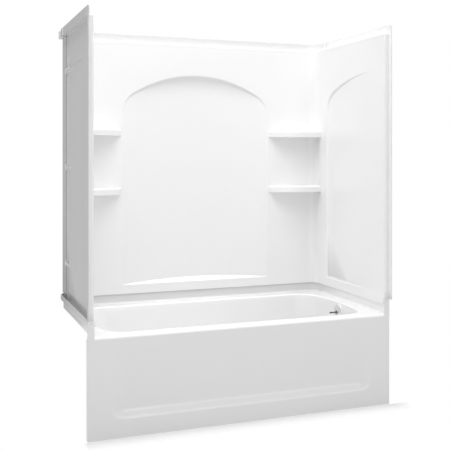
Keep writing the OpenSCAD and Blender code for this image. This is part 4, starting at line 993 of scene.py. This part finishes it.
def painted_bath_shade_and_light(m):
    """Painted shade and light on the bath: the upstand darkens towards the rear, a painted shadow along the
    joint under the walls, painted light on the upstand's front part, and painted shade on the basin that
    grows towards the right.
    """
    x, y, z = m.place()
    above = ramp(z, RIM_H + 4, RIM_H + 24)
    deck_rear = ramp(z, RIM_H - 0.6, RIM_H + 0.4) * ramp(y, 311.0, 316.0)
    # rear: painted shade, darker towards the rear on the upstand and on the deck's strip behind the basin
    rear = deck_rear.apply("MAXIMUM", above * ramp(y, 100.0, 300.0)) * 0.10
    # joint: painted shadow on the upstand just under the walls' foot
    joint = ramp(z, 491.54, 499.23) * ramp(y, -233.33, 100.0) * 0.17
    # light: painted light on the upstand's front part
    light = above * ramp(y, 199.4, 49.48) * ramp(y, -374.0, -354.0) * 0.08
    # basin_shade: painted shade on the basin, stronger towards the right
    basin_shade = ramp(z, RIM_H - 2, RIM_H - 3) * ramp(y, -370.0, -350.0) * (x * 5e-5 + 0.02)
    return 1.0 + light - rear - joint - basin_shade


def painted_wall_shade(m):
    """Painted shade: outer sides dim at the laps, a painted shadow in the groove beside them, painted shade
    low and high, and the back's top flange painted darker.
    """
    x, y, z = m.place()
    side = x.apply("ABSOLUTE")
    outer = ramp(side, END_X + 2, END_X + WALL_T)
    wall = ramp(z, TOP_LEDGE, TOP_LEDGE - 1)
    # lap and groove: painted shade on the laps, with a painted shadow in the groove at the seam
    lap = ramp(y, 260.0, 276.67) * wall
    groove = ramp((y - SEAM_Y - 1.5).apply("ABSOLUTE"), 9.0, 6.0)
    # low: painted shadow above the tub's flange, reaching higher towards the rear; high: painted shade under
    # the top ledge
    low = (1.35 - (z - LEDGE_Z - 2) / (50.0 + 0.8 * y.apply("MAXIMUM", 0.0))).clamp() * 0.22
    ends = ramp(side, HALF_W - 2, HALF_W - 1) + ramp(y, 390.0, 395.0)
    high = ramp(z, 1800.0, 1880.0) * ramp(y, -370.0, -320.0) * (wall + (1.0 - wall) * ends) * 0.11
    # flange: painted shade on the back's top flange
    flange = ramp(z, TOP_LEDGE + 2, TOP_LEDGE + 4.5) * ramp(y, 404.0, 403.0) * ramp(y, 250.0, 375.0)
    return (1.0 - outer * (lap * (0.14 + groove * 0.6) + low + high)) * (1.0 - flange * 0.17)


def moulded(name, rgb, rough, coat, grain, tone=None):
    """Gloss or satin plastic with a faint unevenness."""
    m = Material(name)
    broad = m.noise(3.0, 3.0)
    fine = m.noise(grain, 2.0)
    shade = 0.992 + broad * 0.016
    # tone, when given, multiplies painted shade and painted light into the colour
    m.set(
        Base_Color=m.tinted(rgb, shade * tone(m) if tone else shade),
        Roughness=rough - 0.03 + broad * 0.06,
        Coat_Weight=coat,
        Coat_Roughness=0.06,
    )
    m.bump(fine, 0.06, 0.0006)
    return m.m


def metal(name, rgb, rough, scale):
    """Bare or plated metal with faint wear."""
    m = Material(name)
    wear = m.noise(scale, 4.0)
    m.set(Base_Color=m.tinted(rgb, 0.97 + wear * 0.06), Metallic=1.0)
    m.set(Roughness=rough * 0.7 + wear * (rough * 0.6))
    return m.m


def rubber(name, rgb):
    m = Material(name)
    grain = m.noise(900.0, 3.0)
    m.set(Base_Color=m.tinted(rgb, 0.8 + grain * 0.4), Roughness=0.55 + grain * 0.2)
    m.bump(grain, 0.2, 0.0004)
    return m.m


def foam_block(name, rgb):
    """Pale foam with small cells."""
    m = Material(name)
    cells = m.node("ShaderNodeTexVoronoi", {"Vector": m.coordinates(), "Scale": 260.0})
    cell = m.value(cells["Distance"])
    m.set(Base_Color=m.tinted(rgb, 0.94 + cell * 0.1), Roughness=0.85)
    m.bump(cell, 0.5, 0.0015)
    return m.m


GLOSS_WHITE = ((0.90, 0.90, 0.90), 0.24, 0.35, 380.0)
# Both whites carry painted shade from their tone functions; the bath's also carries painted light.
WHITE = moulded("white_moulding", *GLOSS_WHITE, painted_wall_shade)
BATH_WHITE_PAINTED_SHADE = moulded("bath_white_painted_shade", *GLOSS_WHITE, painted_bath_shade_and_light)
FINISH = {
    "white_moulding": WHITE,
    "clip_plastic": moulded("clip_plastic", (0.93, 0.93, 0.93), 0.36, 0.0, 500.0),
    "foam": foam_block("foam", (0.86, 0.83, 0.74)),
    "chrome_trim": metal("chrome_trim", (0.80, 0.80, 0.82), 0.09, 30.0),
    "brass_rod": metal("brass_rod", (0.74, 0.56, 0.28), 0.28, 60.0),
    "spring_wire": metal("spring_wire", (0.60, 0.60, 0.62), 0.30, 90.0),
    "pipe_plastic": moulded("pipe_plastic", (0.80, 0.80, 0.78), 0.38, 0.0, 420.0),
    "nut_plastic": moulded("nut_plastic", (0.84, 0.84, 0.84), 0.45, 0.0, 420.0),
    "seal_rubber": rubber("seal_rubber", (0.030, 0.030, 0.032)),
}
# The trip lever's chrome is painted dark: painted shade standing in for the dark reflections on its chrome.
CHROME_PAINTED_DARK = metal("chrome_painted_dark", (0.13, 0.13, 0.14), 0.12, 30.0)
NODE_SLOT = {row["node"]: row["material_slot"] for row in frame["record"]["subparts"]}
for node_name, obj in frame["nodes"].items():
    obj.data.materials.clear()
    obj.data.materials.append(CHROME_PAINTED_DARK if node_name == "trip_lever" else FINISH[NODE_SLOT[node_name]])


# The object
def build(name, shells, finish, *nodes):
    """Puts a moulding in place of the nodes that it stands for."""
    obj = mesh_object(name, shells, finish)
    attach(obj, "bath_and_walls")
    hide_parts(*nodes)


right_wall = end_wall()
build("bath_moulding", bathtub(), BATH_WHITE_PAINTED_SHADE, "bathtub")
build("back_wall_moulding", back_wall(), WHITE, "back_wall")
build("right_wall_moulding", right_wall, WHITE, "right_end_wall")
build("left_wall_moulding", [shell.mirrored() for shell in right_wall], WHITE, "left_end_wall")

ribs = apron_ribs(BATH_WHITE_PAINTED_SHADE)
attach(ribs, "bath_and_walls")

# Studio, in metres but for the floor's shades
PURE_WHITE = (1, 1, 1, 1)
WORLD_LIGHT = 0.428
# The floor's colour as the camera sees it near the object, and its dip in front of the apron, are painted
# shade.
FLOOR_SEEN_PAINTED_SHADE = 0.78
FLOOR_BOUNCE = 0.88
PAINTED_FOOT_SHADE = 0.31
CARD_GREY = 0.43
CARD_PLACE = (-1.7, 2.0, 1.6)
CARD_SIZE = (2.1, 3.2, 1)


def seen_ray(tree):
    """1 for rays from the camera, from a mirror or through glass, which see the white studio."""
    rays = add_node(tree, "ShaderNodeLightPath").outputs
    kinds = ("Camera", "Glossy", "Transmission")
    camera, glossy, through = [Sock(tree, rays[f"Is {kind} Ray"]) for kind in kinds]
    return (camera + glossy + through).clamp()


def white_world():
    """Even light on the object, and white wherever the studio is seen."""
    world = bpy.data.worlds.new("studio")
    bpy.context.scene.world = world
    world.use_nodes = True
    tree = world.node_tree
    tree.nodes.clear()
    light = add_node(tree, "ShaderNodeBackground", {"Color": PURE_WHITE, "Strength": WORLD_LIGHT})
    white = add_node(tree, "ShaderNodeBackground", {"Color": PURE_WHITE, "Strength": 1.0})
    seen = seen_ray(tree)
    mix = add_node(tree, "ShaderNodeMixShader", {0: seen, 1: light.outputs[0], 2: white.outputs[0]})
    add_node(tree, "ShaderNodeOutputWorld", {"Surface": mix.outputs[0]})


def studio_floor():
    """Floor that shows the contact shadow near the object and is white beyond; near the object it is painted
    darker, as painted shade that deepens the contact shadow and dims the apron's foot.
    """
    bpy.ops.mesh.primitive_plane_add(size=60, location=(0, 0, -0.0005))
    plane = bpy.context.object
    plane.name = "floor"
    m = Material("floor_white")
    x, y, _ = m.place()
    beyond_x = (x.apply("ABSOLUTE") - HALF_W).apply("MAXIMUM", 0.0)
    beyond_y = (APRON_Y - y).apply("MAXIMUM", 0.0)
    away = (beyond_x * beyond_x + beyond_y * beyond_y).apply("SQRT")
    beside = ramp(x, -760.0, -780.0) + ramp(y, -383.5, -381.0)
    far = (away / 105.0 - 0.05).apply("MAXIMUM", beside).clamp()
    # near: painted shade, a darker floor in front of the apron for bounced light, which dims the apron's
    # foot
    near = ramp(away, 750.0, 0.0) * ramp(y, -375.0, -400.0)
    seen = seen_ray(m.tree)
    bounce = FLOOR_BOUNCE - near * PAINTED_FOOT_SHADE
    # Camera rays see a darker floor than the light that bounces from it, which deepens the contact shadow:
    # painted shade.
    m.set(Base_Color=m.tinted((1.0, 1.0, 1.0), seen * (FLOOR_SEEN_PAINTED_SHADE - bounce) + bounce), Roughness=0.9)
    m.set(Specular_IOR_Level=0.1)
    glow = m.node("ShaderNodeEmission", {"Color": PURE_WHITE, "Strength": 1.0})
    mix = m.node("ShaderNodeMixShader", {0: far * seen, 1: m.shader.outputs[0], 2: glow[0]})
    feed(m.tree, m.out.inputs["Surface"], mix[0])
    plane.data.materials.append(m.m)


def grey_card():
    """Card behind the left corner, seen by reflections only, so that the end wall's outside stays grey."""
    bpy.ops.mesh.primitive_plane_add(size=1, location=CARD_PLACE, rotation=(math.radians(90), 0, 0))
    card = bpy.context.object
    card.name = "grey_card"
    card.scale = CARD_SIZE
    card.visible_camera = card.visible_diffuse = card.visible_shadow = card.visible_transmission = False
    m = Material("card_grey")
    glow = m.node("ShaderNodeEmission", {"Color": PURE_WHITE, "Strength": CARD_GREY})
    feed(m.tree, m.out.inputs["Surface"], glow[0])
    card.data.materials.append(m.m)


def area_light(name, place, aim, width, height, power):
    data = bpy.data.lights.new(name, "AREA")
    data.shape = "RECTANGLE"
    data.size, data.size_y, data.energy = width, height, power
    lamp = bpy.data.objects.new(name, data)
    lamp.location = place
    lamp.rotation_euler = (Vector(aim) - Vector(place)).to_track_quat("-Z", "Y").to_euler()
    bpy.context.scene.collection.objects.link(lamp)


white_world()
studio_floor()
grey_card()
area_light("overhead", (-0.50, -0.45, 4.4), (0.25, 0.0, 0.5), 1.2, 1.2, 35.3)
area_light("ceiling", (0.0, -0.8, 4.5), (0.0, 0.0, 0.5), 4.0, 3.0, 113.5)
area_light("front_fill", (-0.6, -5.0, 1.0), (0.0, 0.0, 0.9), 3.0, 1.6, 13.1)

# Camera fitted to the photo: level, with vertical shift
cam_data = bpy.data.cameras.new("camera")
cam = bpy.data.objects.new("camera", cam_data)
bpy.context.scene.collection.objects.link(cam)
bpy.context.scene.camera = cam
cam.location = (-1.4326, -3.8298, 1.2461)
cam.rotation_euler = (math.radians(90), 0, math.radians(-20.804))
cam_data.sensor_width = 36
cam_data.lens = 63.68
cam_data.shift_y = -0.1528
cam_data.clip_end = 100

scene = bpy.context.scene
scene.view_settings.view_transform = "Standard"
